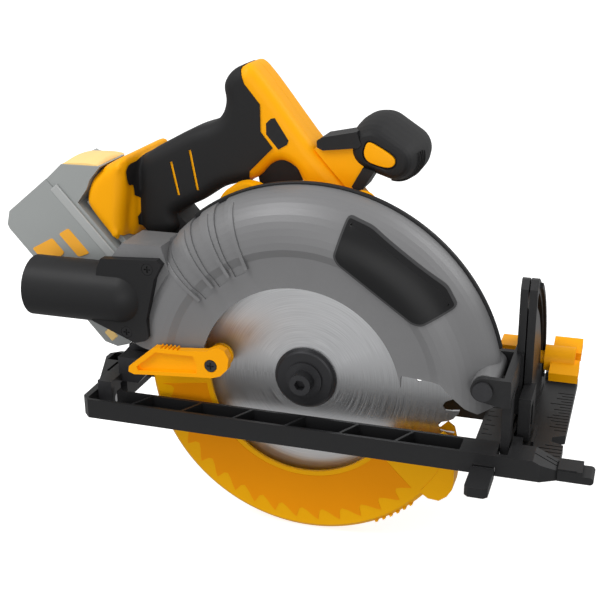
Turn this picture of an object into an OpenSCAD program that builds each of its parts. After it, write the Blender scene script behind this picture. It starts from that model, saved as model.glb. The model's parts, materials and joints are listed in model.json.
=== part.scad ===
// Cordless circular saw, blade on the right-hand side.
// Frame: +X points forward, +Y to the operator's left, +Z up.
// The origin lies on the underside of the sole, below the blade's centre.

/* [Blade] */
// Outside diameter of the saw blade
blade_d = 185; // [183:0.5:187]
// Number of teeth on the blade
tooth_count = 40; // [36:1:44]
// Thickness of the blade's steel plate
plate_t = 1.2; // [1:0.1:1.4]
// Width of cut of the carbide tips
kerf = 1.8; // [1.6:0.1:2]
// Diameter of the blade's bore
bore_d = 16; // [15.5:0.5:16]
// Diameter of the clamping flanges
flange_d = 38; // [36:0.5:38]

/* [Base] */
// Height of the arbor above the sole at full depth
arbor_z = 29.5; // [29:0.1:30]
// Height of the side rails
rail_h = 12.2; // [11:0.1:12.4]
// Thickness of the base's walls
base_wall = 2; // [1.8:0.1:2.2]
// Height of the front plate's top face
plate_top = 5.6; // [5.4:0.1:5.8]
// Number of graduations along the front edge
tick_count = 25; // [20:1:26]

/* [Guards] */
// Largest radius of the upper guard's crown
crown_r = 115; // [114.5:0.1:115.2]
// Radius of the round opening in the upper guard's face
opening_r = 61; // [60.8:0.1:61.5]
// Outer radius of the lower guard
lower_r = 97.5; // [97:0.1:98]
// Wall thickness of the guards
guard_t = 2.5; // [2.2:0.1:2.7]

/* [Drive] */
// Teeth on the output gear
gear_teeth = 50; // [45:5:50]
// Teeth on the motor pinion
pinion_teeth = 12; // [10:1:12]
// Outer radius of the motor housing
motor_r = 36; // [35.5:0.1:36]

/* [Handle] */
// Width of the grip
grip_w = 34; // [33:0.5:34]
// Distance of the handle's middle plane from the blade
handle_y = 52; // [51.5:0.1:52]
// Thickness of the handle's shell
shell_t = 2.5; // [2.2:0.1:2.8]

/* [Battery] */
// Length of the battery pack
pack_len = 106; // [104:1:107]
// Width of the battery pack
pack_w = 74; // [72:1:75]
// Thickness of the battery pack
pack_t = 48; // [46:1:48]
// Tilt of the pack's long side below the horizontal
pack_tilt = 48; // [47:0.5:49]

/* [Hidden] */

// Small gap that keeps moving pieces apart
gap = 0.4;
// Running clearance of a shaft in its bore
fit = 0.05;
// Overlap used only where a cut passes through a face
eps = 0.1;
blade_r = blade_d / 2;
flange_r = flange_d / 2;
nose_r = bore_d / 2 - fit;

// Layers across the saw, along Y
guard_face_y = -18;
guard_back_y = 16;
gasket_back_y = 18;
case_split_y = 24;
gear_back_y = 32.4;
case_back_y = 48;
motor_back_y = 92;
cap_back_y = 101;

// Motor axis, one gear-centre distance from the arbor
gear_centres = 30;
motor_angle = 115;
motor_x = gear_centres * cos(motor_angle);
motor_z = arbor_z + gear_centres * sin(motor_angle);

// Bevel hinge along X, depth hinge along Y
bevel_y = -14;
bevel_z = 6;
depth_x = 108;
depth_z = 45;
bevel_bolt_r = 86;
bevel_bolt_a = 16.5;
bevel_travel = 45;
guide_r = 190;
depth_travel = 23;

// Battery pack: its outer lower corner line, long direction u and thickness direction v
pack_x = -203;
pack_z = 104;
pack_y0 = handle_y - pack_w / 2;

// ---------------------------------------------------------------- helpers

// Cylinder along Y from y0 to y1
module ycyl(x, z, y0, y1, r, fn = 64) {
    translate([x, y0, z]) rotate([-90, 0, 0]) cylinder(r = r, h = y1 - y0, $fn = fn);
}

// Cylinder along X from x0 to x1
module xcyl(y, z, x0, x1, r, fn = 48) {
    translate([x0, y, z]) rotate([0, 90, 0]) cylinder(r = r, h = x1 - x0, $fn = fn);
}

// Outline drawn in X and Z, filled from y0 to y1
module yplate(y0, y1) {
    translate([0, y1, 0]) rotate([90, 0, 0]) linear_extrude(y1 - y0) children();
}

// Outline drawn in Y and Z, filled from x0 to x1
module xplate(x0, x1) {
    translate([x0, 0, 0]) rotate([90, 0, 90]) linear_extrude(x1 - x0) children();
}

// Profile of radius against Y, turned about an axis along Y at x, z
module yrev(x, z, fn = 96) {
    translate([x, 0, z]) rotate([-90, 0, 0]) rotate_extrude($fn = fn) children();
}

// Box from its lowest to its highest corner
module box(a, b) {
    translate(a) cube(b - a);
}

// Ring along Y
module yring(x, z, y0, y1, r_out, r_in, fn = 64) {
    difference() {
        ycyl(x, z, y0, y1, r_out, fn);
        ycyl(x, z, y0 - eps, y1 + eps, r_in, fn);
    }
}

// Point at radius r and angle a from the arbor, in X and Z
function polar(r, a) = [r * cos(a), arbor_z + r * sin(a)];

// Arc of points about a centre
function arc(c, r, a0, a1, n) = [for (i = [0:n]) let (a = a0 + (a1 - a0) * i / n) c + r * [cos(a),
    sin(a)]];

// Place children in the pack's own frame: x along the pack, y across, z towards the tool
module in_pack() {
    translate([pack_x, pack_y0, pack_z]) rotate([0, pack_tilt, 0]) children();
}

// Pan-head screw along Y, its head at y0
module yscrew(x, z, y0, y1, r_head, r_shank, head_t) {
    difference() {
        union() {
            ycyl(x, z, y0, y0 + head_t, r_head, 32);
            ycyl(x, z, y0 + head_t, y1, r_shank, 32);
        }
        translate([x, y0, z]) for (a = [0, 90]) rotate([0, a, 0])
            box([-r_head * 0.6, -eps, -r_head * 0.12], [r_head * 0.6, head_t * 0.55, r_head * 0.12]);
    }
}

// ---------------------------------------------------------------- base

front_x = 151;
rear_x = -134;
near_y = -33.5;
far_y = 101;
plate_x0 = 103;
rail_in_y = -16;
far_rail_y0 = 33;
far_rail_y1 = 41;
cross_x = -118;
tunnel_x0 = 105.8;
tunnel_x1 = 118;
tunnel_floor = 0.8;
tunnel_h = 5.2;
fence_x = (tunnel_x0 + tunnel_x1) / 2;
screw_y = 90;
rib_pitch = 31;

module base_outline() {
    polygon([
        [rear_x, near_y + 5], [rear_x + 5, near_y], [front_x - 9, near_y], [front_x, near_y + 5],
        [front_x, far_y - 3], [front_x - 3, far_y], [plate_x0, far_y], [plate_x0, far_rail_y1],
        [-143, far_rail_y1], [-149, far_rail_y1 - 5], [-149, 30], [rear_x - 0.5, -8]
    ]);
}

module base_window() {
    difference() {
        translate([cross_x, rail_in_y]) square([plate_x0 - cross_x, far_rail_y0 - rail_in_y]);
        translate([cross_x, rail_in_y]) rotate(45) square(6, center = true);
    }
}

// Hollow of one open-topped channel, with slanted cross ribs left standing
module rail_hollow(x0, x1, y0, y1) {
    n = floor((x1 - x0) / rib_pitch);
    step = (x1 - x0) / n;
    rib = 1.8;
    lean = 7;
    for (i = [0:n - 1]) {
        xa = x0 + i * step + (i == 0 ? 0 : rib / 2);
        xb = x0 + (i + 1) * step - (i == n - 1 ? 0 : rib / 2);
        a = i == 0 ? 0 : lean / 2;
        b = i == n - 1 ? 0 : lean / 2;
        translate([0, 0, base_wall]) linear_extrude(rail_h)
            polygon([[xa - a, y0], [xb - b, y0], [xb + b, y1], [xa + a, y1]]);
    }
}

module base_frame() {
    tick_step = 4;
    color("#2b2b2c") difference() {
        union() {
            linear_extrude(rail_h) difference() {
                base_outline();
                base_window();
                translate([plate_x0, rail_in_y]) square([front_x, far_y - rail_in_y + 1]);
            }
            // front plate, with the raised bridge over the fence tunnel
            linear_extrude(plate_top) intersection() {
                base_outline();
                translate([plate_x0, rail_in_y - 1]) square([front_x, far_y - rail_in_y + 2]);
            }
            box([plate_x0, rail_in_y - eps, 0], [120.5, far_y - 4, 7.6]);
            for (x = [121.8, 133.4]) box([x, -3, 0], [x + 1.4, 19, 8.2]);
            // raised stop at the far end of the plate
            box([131, far_y - 9, 0], [front_x - 1, far_y, 10.5]);
            // boss for the fence screw
            translate([fence_x, screw_y, 0]) cylinder(r = 7.5, h = 11, $fn = 48);
            // front lug of the bevel hinge
            box([124.1, -21, 0], [129.5, -7, 12.2]);
            // foot under the fixed quadrant plate
            box([124.6, 21, 0], [131, 84, 7.4]);
        }
        // sloping nose of the near rail
        translate([front_x - 13, near_y - 1, rail_h]) rotate([0, 26, 0]) cube([20, 19, 12]);
        // open channels of the rails and the rear crossbar
        rail_hollow(rear_x + 5, 98, near_y + base_wall, rail_in_y - base_wall);
        rail_hollow(-114, 98, far_rail_y0 + base_wall, far_rail_y1 - base_wall);
        box([rear_x + 3, 0, base_wall], [cross_x - base_wall, 7, rail_h + 1]);
        box([rear_x - 4, 9, base_wall], [cross_x - base_wall, 24, rail_h + 1]);
        box([-146, 26, base_wall], [cross_x - base_wall, 38, rail_h + 1]);
        // room for the bevel hinge barrels
        box([tunnel_x1, -30.4, -1], [124.1, -4, 20]);
        box([-130, -30.4, -1], [cross_x + 1, -2, 20]);
        for (x = [118, -134]) xcyl(bevel_y, bevel_z, x, x + 15, 2.5);
        xcyl(bevel_y, bevel_z, 129.5, 132, 4.4);
        // fence tunnel through everything, and the screw's hole
        box([tunnel_x0, near_y - 1, tunnel_floor], [tunnel_x1, far_y + 1, tunnel_h]);
        translate([fence_x, screw_y, 0]) cylinder(r = 2.5, h = 20, $fn = 48);
        // graduations along the front edge and beside the window
        for (i = [0:tick_count - 1]) {
            y = -24 + i * tick_step;
            long = i % 5 == 0 ? 13 : (i % 2 == 0 ? 10 : 7);
            if (y < 2 || y > 17) box([front_x - long, y, plate_top - 0.4], [front_x + 1, y + 0.9, 20]);
        }
        for (i = [0:6]) box([plate_x0 + 2, i * 6, 7.2],
            [plate_x0 + (i % 2 == 0 ? 8 : 5), i * 6 + 0.7, 20]);
        // sight notch for the line of cut
        translate([front_x, 2, -1]) linear_extrude(20) polygon([[-7, 4], [-7, 9], [1, 14], [1, 0]]);
    }
}

// Closed outline of the tall quadrant, in Y and Z
module quadrant_outline(z0) {
    r = 98;
    top = 95;
    a1 = asin((top - bevel_z) / r);
    a0 = asin((z0 - bevel_z) / r);
    polygon(concat([[20, z0]], arc([bevel_y, bevel_z], r, a0, a1, 20), [[24, top], [20, top - 5]]));
}

module bevel_slot(a0, a1, r_slot) {
    polygon(concat(
        arc([bevel_y, bevel_z], bevel_bolt_r + r_slot, a0, a1, 24),
        arc([bevel_y, bevel_z], bevel_bolt_r - r_slot, a1, a0, 24)));
    for (a = [a0, a1]) translate([bevel_y, bevel_z] + bevel_bolt_r * [cos(a), sin(a)])
        circle(r = r_slot - 0.02, $fn = 32);
}

module quadrant_plate() {
    color("#2f2f30") difference() {
        union() {
            // post that stiffens the near edge
            box([125.4, -2, 7.6], [132, 22, 33]);
            xplate(125.2, 129.6) quadrant_outline(7.4);
            // raised rim that carries the scale
            xplate(129.5, 131.2) polygon(concat(
                arc([bevel_y, bevel_z], 96.8, 4, 61, 20), arc([bevel_y, bevel_z], 93.6, 61, 4, 20)));
        }
        xplate(120, 135) bevel_slot(bevel_bolt_a, bevel_bolt_a + bevel_travel, 4.4);
        box([127.6, 2, 12], [140, 12, 27]);
        // scale teeth on the rim, one each five degrees
        for (i = [0:9]) translate([131.2, bevel_y, bevel_z]) rotate([14 + i * 5, 0, 0])
            box([-0.8, 94, -0.4], [1, 98.5, 0.4]);
    }
}

module cut_line_guide() {
    color("#262627") difference() {
        union() {
            box([front_x, -30, 0.6], [164, -16, 7.4]);
            box([164, -30, 0.6], [168, -16, 5]);
            ycyl(168, 2.8, -30, -16, 2.2, 24);
        }
        box([166, -31, -1], [171, -15, 0.6]);
        box([front_x, -31, 6.6], [front_x + 10, -29, 8.4]);
    }
}

module bevel_pins() {
    color("silver") {
        xcyl(bevel_y, bevel_z, 118.4, 129.5, 2.45);
        xcyl(bevel_y, bevel_z, 129.5, 131.4, 4, 32);
        xcyl(bevel_y, bevel_z, -133, -119.4, 2.45);
    }
}

// ---------------------------------------------------------------- fence

module fence_bar() {
    color("dimgray") box([fence_x - 5.7, -52, 1.2], [fence_x + 5.7, 97, 4.8]);
}

module fence_cap() {
    color("#262627") difference() {
        box([fence_x - 6.3, -60, 0.2], [fence_x + 6.3, -36.5, 5.8]);
        box([fence_x - 5.7, -52, 1.2], [fence_x + 5.7, -30, 4.8]);
        for (s = [-1, 1]) translate([fence_x + s * 6.3, -60, 0]) rotate(45) cube([3, 3, 20],
            center = true);
    }
}

module fence_screw() {
    color("#262627") difference() {
        union() {
            translate([fence_x, screw_y, 5.2]) cylinder(r = 2.42, h = 9, $fn = 48);
            translate([fence_x, screw_y, 11.4]) cylinder(r = 5.5, h = 7, $fn = 48);
            box([fence_x - 9, screw_y - 2, 12.4], [fence_x + 9, screw_y + 2, 22]);
        }
        for (s = [-1, 1]) translate([fence_x + s * 10, screw_y, 23]) rotate([0, 45, 0])
            cube([6, 6, 6], center = true);
    }
}

// ---------------------------------------------------------------- bevel bracket

module bevel_bracket() {
    cheek = [[depth_x, depth_z - 7], [118, 36], [123, 36], [123, 52], [depth_x, depth_z + 7]];
    color("#2a2a2b") difference() {
        union() {
            // cheeks either side of the guard's lug
            for (y = [-23, 19]) yplate(y, y + 4) {
                polygon(cheek);
                translate([depth_x, depth_z]) circle(r = 7, $fn = 48);
            }
            box([118.6, -23, 36], [123, 24, 52]);
            // leg down to the hinge barrel
            box([118.6, -20, 6], [123.4, -7, 40]);
            xcyl(bevel_y, bevel_z, 118.6, 123.4, 5.4);
            // moving quadrant
            xplate(120, 124.4) quadrant_outline(13);
            xplate(119.2, 120.1) polygon(concat(
                arc([bevel_y, bevel_z], 98, 6, 62, 20), arc([bevel_y, bevel_z], 95, 62, 6, 20)));
            // reach behind the web, below the quadrant's slot
            xplate(118.6, 124.4) polygon([[18, 20], [50, 13], [60, 13], [34, 52], [18, 52]]);
        }
        xcyl(bevel_y, bevel_z, 100, 130, 2.5);
        ycyl(depth_x, depth_z, -30, 30, 3.05);
        xcyl(bevel_y + bevel_bolt_r * cos(bevel_bolt_a), bevel_z + bevel_bolt_r * sin(bevel_bolt_a),
            110, 130, 4);
    }
}

// Arc-shaped guide behind the guard that sets the depth of cut
module depth_guide() {
    c = [depth_x, depth_z];
    slot0 = 184;
    slot1 = slot0 - depth_travel;
    color("#4a4b4d") difference() {
        union() {
            yplate(19.6, 23) polygon(concat(
                arc(c, guide_r + 9, 192, slot1, 24), arc(c, guide_r, slot1 - 2.6, slot1 - 2.6, 1),
                arc(c, guide_r - 9, slot1 - 1.6, 190, 24)));
            // foot reaching back to the rear hinge barrel
            yplate(19.6, 23) polygon([[-128, 13.5], [-84, 13.5], [-72, 24], [-72, 34], [-112, 34],
                [-126, 28]]);
            yplate(12, 23) difference() {
                translate([-113, 19]) circle(r = 14, $fn = 64);
                translate([-140, 0]) square([60, 13.6]);
            }
            box([-128.6, -20, 13.4], [-119.4, 23, 19]);
            box([-128.6, -20, 6], [-119.4, -8, 19]);
            xcyl(bevel_y, bevel_z, -128.6, -119.4, 5.4);
            // splash plate beside the rear of the lower guard
            yplate(-6, 6) polygon([[-121, 13.8], [-108, 13.8], [-101, 22], [-101, 30], [-121, 30]]);
        }
        xcyl(bevel_y, bevel_z, -140, -110, 2.5);
        yplate(15, 25) {
            polygon(concat(arc(c, guide_r + 3.4, slot0, slot1, 24), arc(c, guide_r - 3.4, slot1,
                slot0, 24)));
            for (a = [slot0, slot1]) translate(c + guide_r * [cos(a), sin(a)]) circle(r = 3.38,
                $fn = 32);
        }
        // keep the tail of the arc clear of the base
        box([-100, 15, -10], [-60, 25, 13]);
    }
}

bolt_y = bevel_y + bevel_bolt_r * cos(bevel_bolt_a);
bolt_z = bevel_z + bevel_bolt_r * sin(bevel_bolt_a);

module bevel_bolt() {
    color("orange") {
        box([105, bolt_y - 9, bolt_z - 6.5], [119.1, bolt_y + 9, bolt_z + 9]);
    }
    color("silver") xcyl(bolt_y, bolt_z, 119.1, 137, 3.95);
}

module bevel_knob() {
    color("orange") difference() {
        union() {
            xcyl(bolt_y, bolt_z, 132, 150, 8);
            for (a = [20, 200]) translate([0, bolt_y, bolt_z]) rotate([a, 0, 0])
                box([136, 0, -3.2], [153, 17, 3.2]);
        }
        xcyl(bolt_y, bolt_z, 120, 137.6, 4);
        xcyl(bolt_y, bolt_z, 148, 160, 4.5);
    }
}

module depth_pin() {
    color("silver") {
        ycyl(depth_x, depth_z, -23.4, 23.4, 3);
        ycyl(depth_x, depth_z, -25.4, -23.4, 5.5, 32);
        ycyl(depth_x, depth_z, 23.4, 25.4, 5.5, 32);
    }
}

// ---------------------------------------------------------------- upper guard

crown_c = 84;
crown_y = 8;

// Crown profile: radius against Y, a quarter ellipse that closes on the flat face
function crown(inset) = [for (i = [0:12]) let (a = 90 - i * 7.5)
    [crown_c + (crown_r - crown_c - inset) * cos(90 - a),
     crown_y - (crown_y - guard_face_y - inset) * sin(90 - a)]];

module crown_profile(inset, y_back) {
    pts = crown(inset);
    polygon(concat([[0, guard_face_y + 1.5 + inset]], [[79.5 - inset / 2, guard_face_y + 1.5 + inset]],
        [for (i = [12:-1:0]) pts[i]], [[crown_r - 1 - inset, y_back], [0, y_back]]));
}

module guard_region() {
    polygon([
        [-108, 42], [-60, 42], [-50, 14], [40, 14], [60, 30], [61, 45], [83.4, 43], [88, 38],
        [97.2, 29], [104, 25], [113, 27.4], [125, 50], [125, 150], [-125, 150], [-125, 94], [-112, 60]
    ]);
}

// Shallow channels moulded into the rear of the crown
module vent_channels() {
    for (a = [136, 126.5, 117])
        translate([0, 0, arbor_z]) rotate([0, -a, 0]) box([74, -30, -3.7], [120, 12, 3.7]);
}

module upper_guard() {
    color("#8b8c8e") difference() {
        union() {
            intersection() {
                yrev(0, arbor_z) crown_profile(0, guard_back_y);
                yplate(-40, 40) guard_region();
            }
            ycyl(depth_x, depth_z, -18.4, 18.4, 7.4, 48);
            // dust chute at the rear
            yplate(-13.8, 14.4) polygon([[-118, 96], [-109, 107], [-84, 107], [-70, 60], [-100, 44],
                [-106, 44]]);
        }
        // cavity for the blade and the lower guard
        difference() {
            yrev(0, arbor_z) crown_profile(guard_t, guard_back_y - guard_t);
            ycyl(depth_x, depth_z, guard_face_y, guard_back_y, 7.4, 48);
        }
        yplate(-11.3, 12)
            polygon([[-115, 94], [-107, 104], [-86, 104], [-74, 62], [-99, 47], [-104, 47]]);
        // room for the dust port's tube
        difference() {
            xcyl(port_y, port_z, -140, -93, port_r + 0.2);
            box([-200, -30, 0], [-90, -60, 200]);
        }
        ycyl(0, arbor_z, -30, -10, opening_r, 128);
        ycyl(0, arbor_z, 0, 30, 24, 96);
        ycyl(depth_x, depth_z, -30, 30, 3.05);
        intersection() {
            vent_channels();
            difference() {
                yrev(0, arbor_z) crown_profile(-1, guard_back_y);
                yrev(0, arbor_z) crown_profile(1.1, guard_back_y + 1);
            }
        }
        for (p = guard_screw_at) ycyl(p[0], p[1], 0, 30, 2.2, 32);
        ycyl(lock_bolt_x, lock_bolt_z, 0, 30, 3, 32);
        // the battery pack passes close behind the rear edge
        box([-130, 14.4, 0], [-96, 20, 100]);
    }
}

guard_screw_at = [polar(108.5, 112), polar(107.5, 75), polar(104, 60)];
lock_bolt_x = depth_x + guide_r * cos(184);
lock_bolt_z = depth_z + guide_r * sin(184);

// Patch of the crown between two radii, standing proud of it
function crown_strip(inset, a1) = [for (a = [0:6:a1])
    [crown_c + (crown_r - crown_c - inset) * sin(a),
        crown_y - (crown_y - guard_face_y - inset) * cos(a)]];

badge_a0 = 33.5;
badge_a1 = 76;
badge_t = 0.9;

module badge_panel() {
    outer = crown_strip(-badge_t, 54);
    inner = crown_strip(-0.1, 54);
    n = len(inner) - 1;
    color("#1d1d1e") difference() {
        translate([0, 0, arbor_z]) rotate([-90, 0, 0]) rotate([0, 0, -badge_a1])
            rotate_extrude(angle = badge_a1 - badge_a0, $fn = 192)
                polygon(concat([[81, guard_face_y - 0.1]], outer, [for (i = [n:-1:0]) inner[i]]));
        for (c = [[80, badge_a0 - 1, 86, badge_a0 + 3], [110.5, badge_a0 - 1, 105.5, badge_a0 + 3],
            [80, badge_a1 + 1, 86, badge_a1 - 3], [110.5, badge_a1 + 1, 105.5, badge_a1 - 3]])
            yplate(-40, 20) polygon([polar(c[0], c[1]), polar(c[2], c[1]), polar(c[0], c[3])]);
    }
}

module guard_gasket() {
    color("#151515") difference() {
        yplate(guard_back_y, gasket_back_y) intersection() {
            translate([0, arbor_z]) circle(r = 112.5, $fn = 128);
            guard_region();
        }
        ycyl(0, arbor_z, 0, 30, 24, 96);
        ycyl(depth_x, depth_z, 0, 30, 12, 48);
        for (p = guard_screw_at) ycyl(p[0], p[1], 0, 30, 2.2, 32);
        ycyl(lock_bolt_x, lock_bolt_z, 0, 30, 3, 32);
        // keep clear of the depth guide's sweep at the rear foot
        box([-130, 0, 0], [-95, 30, 100]);
    }
}

module guard_screws() {
    color("silver") for (p = guard_screw_at) {
        ycyl(p[0], p[1], guard_back_y - guard_t, case_split_y + 3, 2.15, 32);
        ycyl(p[0], p[1], case_split_y + 3, case_split_y + 5.5, 4, 32);
    }
}

// ---------------------------------------------------------------- gear case and drive

boss_front_y = 5.8;

gear_tip = 24.6;
pinion_tip = gear_centres - gear_tip - gap;
case_r = gear_tip + 3.4;

module gear_case() {
    color("#f0a020") difference() {
        union() {
            ycyl(0, arbor_z, gasket_back_y, gear_back_y, case_r, 96);
            ycyl(motor_x, motor_z, gasket_back_y, case_back_y, motor_r, 128);
            ycyl(0, arbor_z, boss_front_y, gasket_back_y, 23.8, 96);
            // flange with its screw bosses, carried behind the crown
            yplate(gasket_back_y, case_split_y) {
                polygon(concat(arc([0, arbor_z], 109, 52, 124, 16), [[-40, 66], [36, 46]]));
            }
            ycyl(-43, 122, gasket_back_y, 29, 17.5, 64);
            ycyl(polar(104, 75)[0], polar(104, 75)[1], gasket_back_y, 27, 8.5, 48);
            ycyl(polar(101, 60)[0], polar(101, 60)[1], gasket_back_y, 27, 8.5, 48);
            // pylon that carries the handle's column
            yplate(case_split_y, 34.6) polygon([[-34, 80], [-30, 110], [-22, 122], [20, 122],
                [28, 104], [18, 74]]);
        }
        ycyl(0, arbor_z, 0, 8.9, 10, 64);
        ycyl(0, arbor_z, 8.8, 17, 14, 64);
        ycyl(0, arbor_z, 16.9, 21.1, 11, 64);
        ycyl(0, arbor_z, 21, 28.6, gear_tip + 0.8, 96);
        ycyl(0, arbor_z, 28.5, 31.6, 8, 64);
        ycyl(motor_x, motor_z, 21, 28.6, 8, 64);
        ycyl(motor_x, motor_z, 28.5, 43.1, 12, 64);
        ycyl(motor_x, motor_z, 43, 50, 7.5, 64);
        for (p = guard_screw_at) {
            ycyl(p[0], p[1], 0, 30, 2.2, 32);
            ycyl(p[0], p[1], case_split_y + 3, 40, 4.3, 32);
        }
        ycyl(lock_x, lock_z, 28, 60, lock_r + fit, 32);
        // room for the lever and the arc of the depth guide
        box([-130, 18, 0], [-62, 30, 100]);
    }
}

lock_x = 20.5;
lock_z = arbor_z - 3;
lock_r = 3;

module guard_spring() {
    color("silver") for (i = [0:3]) yrev(0, arbor_z) translate([27, 9.6 + i * 1.1]) circle(r = 0.5,
        $fn = 16);
}

module front_bearing() {
    color("lightsteelblue") yring(0, arbor_z, 8.9, 16.9, 14, 6 + fit);
}

module rear_bearing() {
    color("lightsteelblue") yring(0, arbor_z, 28.6, 31.6, 8, 4 + fit);
}

module motor_bearings() {
    color("lightsteelblue") {
        yring(motor_x, motor_z, 43, 49, 7.5, 4 + fit);
        yring(motor_x, motor_z, 93, 98, 8, 4 + fit);
    }
}

module spindle() {
    color("#77797c") difference() {
        union() {
            ycyl(0, arbor_z, 5, 8.5, 9.4);
            ycyl(0, arbor_z, 8.5, 28.2, 6);
            ycyl(0, arbor_z, 28.2, 31.4, 4, 48);
            ycyl(0, arbor_z, -3.6, 5, nose_r);
        }
        ycyl(0, arbor_z, -4, 18, 4, 48);
    }
}

module toothed_wheel(x, z, y0, y1, teeth, r_tip, r_root, r_bore) {
    pitch = 360 / teeth;
    yplate(y0, y1) translate([x, z]) difference() {
        union() {
            circle(r = r_root, $fn = 96);
            for (i = [0:teeth - 1]) rotate(i * pitch) polygon([
                [r_root - 0.4, -r_root * sin(pitch * 0.27)], [r_tip, -r_tip * sin(pitch * 0.13)],
                [r_tip, r_tip * sin(pitch * 0.13)], [r_root - 0.4, r_root * sin(pitch * 0.27)]]);
        }
        circle(r = r_bore, $fn = 64);
    }
}

module output_gear() {
    color("#6e7074") toothed_wheel(0, arbor_z, 22, 28, gear_teeth, gear_tip, gear_tip - 1.6, 6);
}

module rotor_shaft() {
    color("#8f9194") {
        ycyl(motor_x, motor_z, 28, 97.6, 4);
        toothed_wheel(motor_x, motor_z, 22, 28, pinion_teeth, pinion_tip, pinion_tip - 1.4, 0.6);
    }
}

module rotor_core() {
    color("#5a3a22") yring(motor_x, motor_z, 54, 80, 16, 4);
}

module fan() {
    color("#303032") {
        yring(motor_x, motor_z, 83, 90, 8, 4);
        difference() {
            yring(motor_x, motor_z, 83, 84.4, 28, 8);
        }
        for (i = [0:10]) translate([motor_x, 84.4, motor_z]) rotate([0, i * 360 / 11, 0])
            box([8.2, 0, -0.6], [27.5, 5.4, 0.6]);
    }
}

module stator() {
    color("#8a5a2a") difference() {
        ycyl(motor_x, motor_z, 56, 79, 30, 96);
        ycyl(motor_x, motor_z, 55, 80, 17, 96);
        for (i = [0:8]) translate([motor_x, 0, motor_z]) rotate([0, i * 40, 0])
            box([19, 55, -2.4], [26, 80, 2.4]);
    }
}

module motor_housing() {
    color("#f0a020") difference() {
        union() {
            yplate(case_back_y, motor_back_y) translate([motor_x, motor_z]) circle(r = motor_r,
                $fn = 128);

        }
        ycyl(motor_x, motor_z, case_back_y + 1.2, 56, 31, 96);
        ycyl(motor_x, motor_z, 55.9, 79.1, 30, 96);
        ycyl(motor_x, motor_z, 79, motor_back_y + 1, 32.5, 96);
        ycyl(motor_x, motor_z, 40, 60, 7.6, 64);
        // cooling slots over the fan
        for (i = [0:11]) translate([motor_x, 0, motor_z]) rotate([0, i * 30 + 15, 0])
            box([30, 82, -2], [40, 89, 2]);
    }
}

module motor_end_cap() {
    color("#232324") difference() {
        union() {
            ycyl(motor_x, motor_z, motor_back_y, cap_back_y, motor_r, 128);
            ycyl(motor_x, motor_z, motor_back_y - 4, motor_back_y, 32.4, 96);
        }
        ycyl(motor_x, motor_z, motor_back_y - 5, cap_back_y - 3, 29.5, 96);
        for (i = [0:9]) translate([motor_x, 0, motor_z]) rotate([0, i * 36, 0])
            box([13, 90, -1.6], [27, 103, 1.6]);
        // screw recesses
        for (a = [45, 225]) ycyl(motor_x + 31.5 * cos(a), motor_z + 31.5 * sin(a), cap_back_y - 2,
            110, 2.4, 32);
    }
    color("#232324") difference() {
        ycyl(motor_x, motor_z, 93, cap_back_y - 3, 10.5);
        ycyl(motor_x, motor_z, 92, 98.01, 8);
        ycyl(motor_x, motor_z, 90, 99, 5);
    }
}

// ---------------------------------------------------------------- dust port

port_x = -173;
port_y = -7;
port_z = 73;
port_r = 18.6;

module dust_port() {
    color("#202021") difference() {
        union() {
            xcyl(port_y, port_z, port_x, -112, port_r, 96);
            translate([-112, port_y, port_z]) intersection() {
                sphere(r = port_r, $fn = 64);
                translate([0, -20, -20]) cube([20, 40, 40]);
            }
            yplate(-19, -13.8) polygon([[-124, 92], [-121, 98], [-85, 100], [-82, 97], [-87, 88],
                [-93.5, 62], [-92.5, 51.5], [-95, 48.5], [-102, 46.5], [-130, 58]]);
        }
        xcyl(port_y, port_z, port_x - 1, -112, port_r - 2.2, 96);
        translate([-112, port_y, port_z]) sphere(r = port_r - 2.2, $fn = 64);
        // way through into the chute
        ycyl(-104, port_z + 4, -10, 20, 9, 48);
        for (p = port_screw_at) {
            ycyl(p[0], p[1], -30, -5, 2.1, 32);
            ycyl(p[0], p[1], -30, -17.3, 3.6, 32);
        }
        xcyl(port_y, port_z, port_x - 1, port_x + 2, port_r - 1.2, 96);
        // the flange rests on the outside of the guard
        yrev(0, arbor_z) crown_profile(-0.15, guard_back_y);
    }
}

port_screw_at = [[-107, 53], [-91, 94]];

module dust_port_screws() {
    color("#9a9b9d") for (p = port_screw_at)
        yscrew(p[0], p[1], -18.9, -13.9, 3.4, 2, 1.5);
}

// ---------------------------------------------------------------- blade

tooth_pitch = 360 / tooth_count;
tooth_phase = 3.3;

function blade_point(r, a) = r * [cos(a), sin(a)];

function tooth(a) = [
    blade_point(blade_r - 4, a - 0.6), blade_point(blade_r - 8, a - 1),
    blade_point(blade_r - 10, a + 0.6), blade_point(blade_r - 8.6, a + 2.6),
    blade_point(blade_r - 5, a + 3.9), blade_point(blade_r - 2.6, a + 5.2),
    blade_point(blade_r - 0.8, a + tooth_pitch - 1.6),
    blade_point(blade_r - 4, a + tooth_pitch - 1.6)];

module blade() {
    color("#9b9c9f") yplate(-plate_t / 2, plate_t / 2) translate([0, arbor_z]) difference() {
        polygon([for (i = [0:tooth_count - 1]) for (p = tooth(i * tooth_pitch + tooth_phase)) p]);
        circle(r = nose_r + fit, $fn = 64);
        // expansion slots with round ends
        for (i = [0:3]) rotate(i * 90 + tooth_phase + 3.2) {
            translate([blade_r - 24, -0.5]) square([18, 1]);
            translate([blade_r - 24, 0]) circle(r = 1.8, $fn = 24);
        }
    }
}

module blade_tips() {
    color("#d8d9da") yplate(-kerf / 2, kerf / 2) translate([0, arbor_z])
        for (i = [0:tooth_count - 1]) polygon([for (p = [[0, 0], [4, -0.6], [4, -1.6], [0.4, -1.6]])
            blade_point(blade_r - p[0], i * tooth_pitch + tooth_phase + p[1])]);
}

module inner_flange() {
    color("#3a3b3d") yring(0, arbor_z, plate_t / 2, 5, flange_r, nose_r + fit);
}

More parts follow.
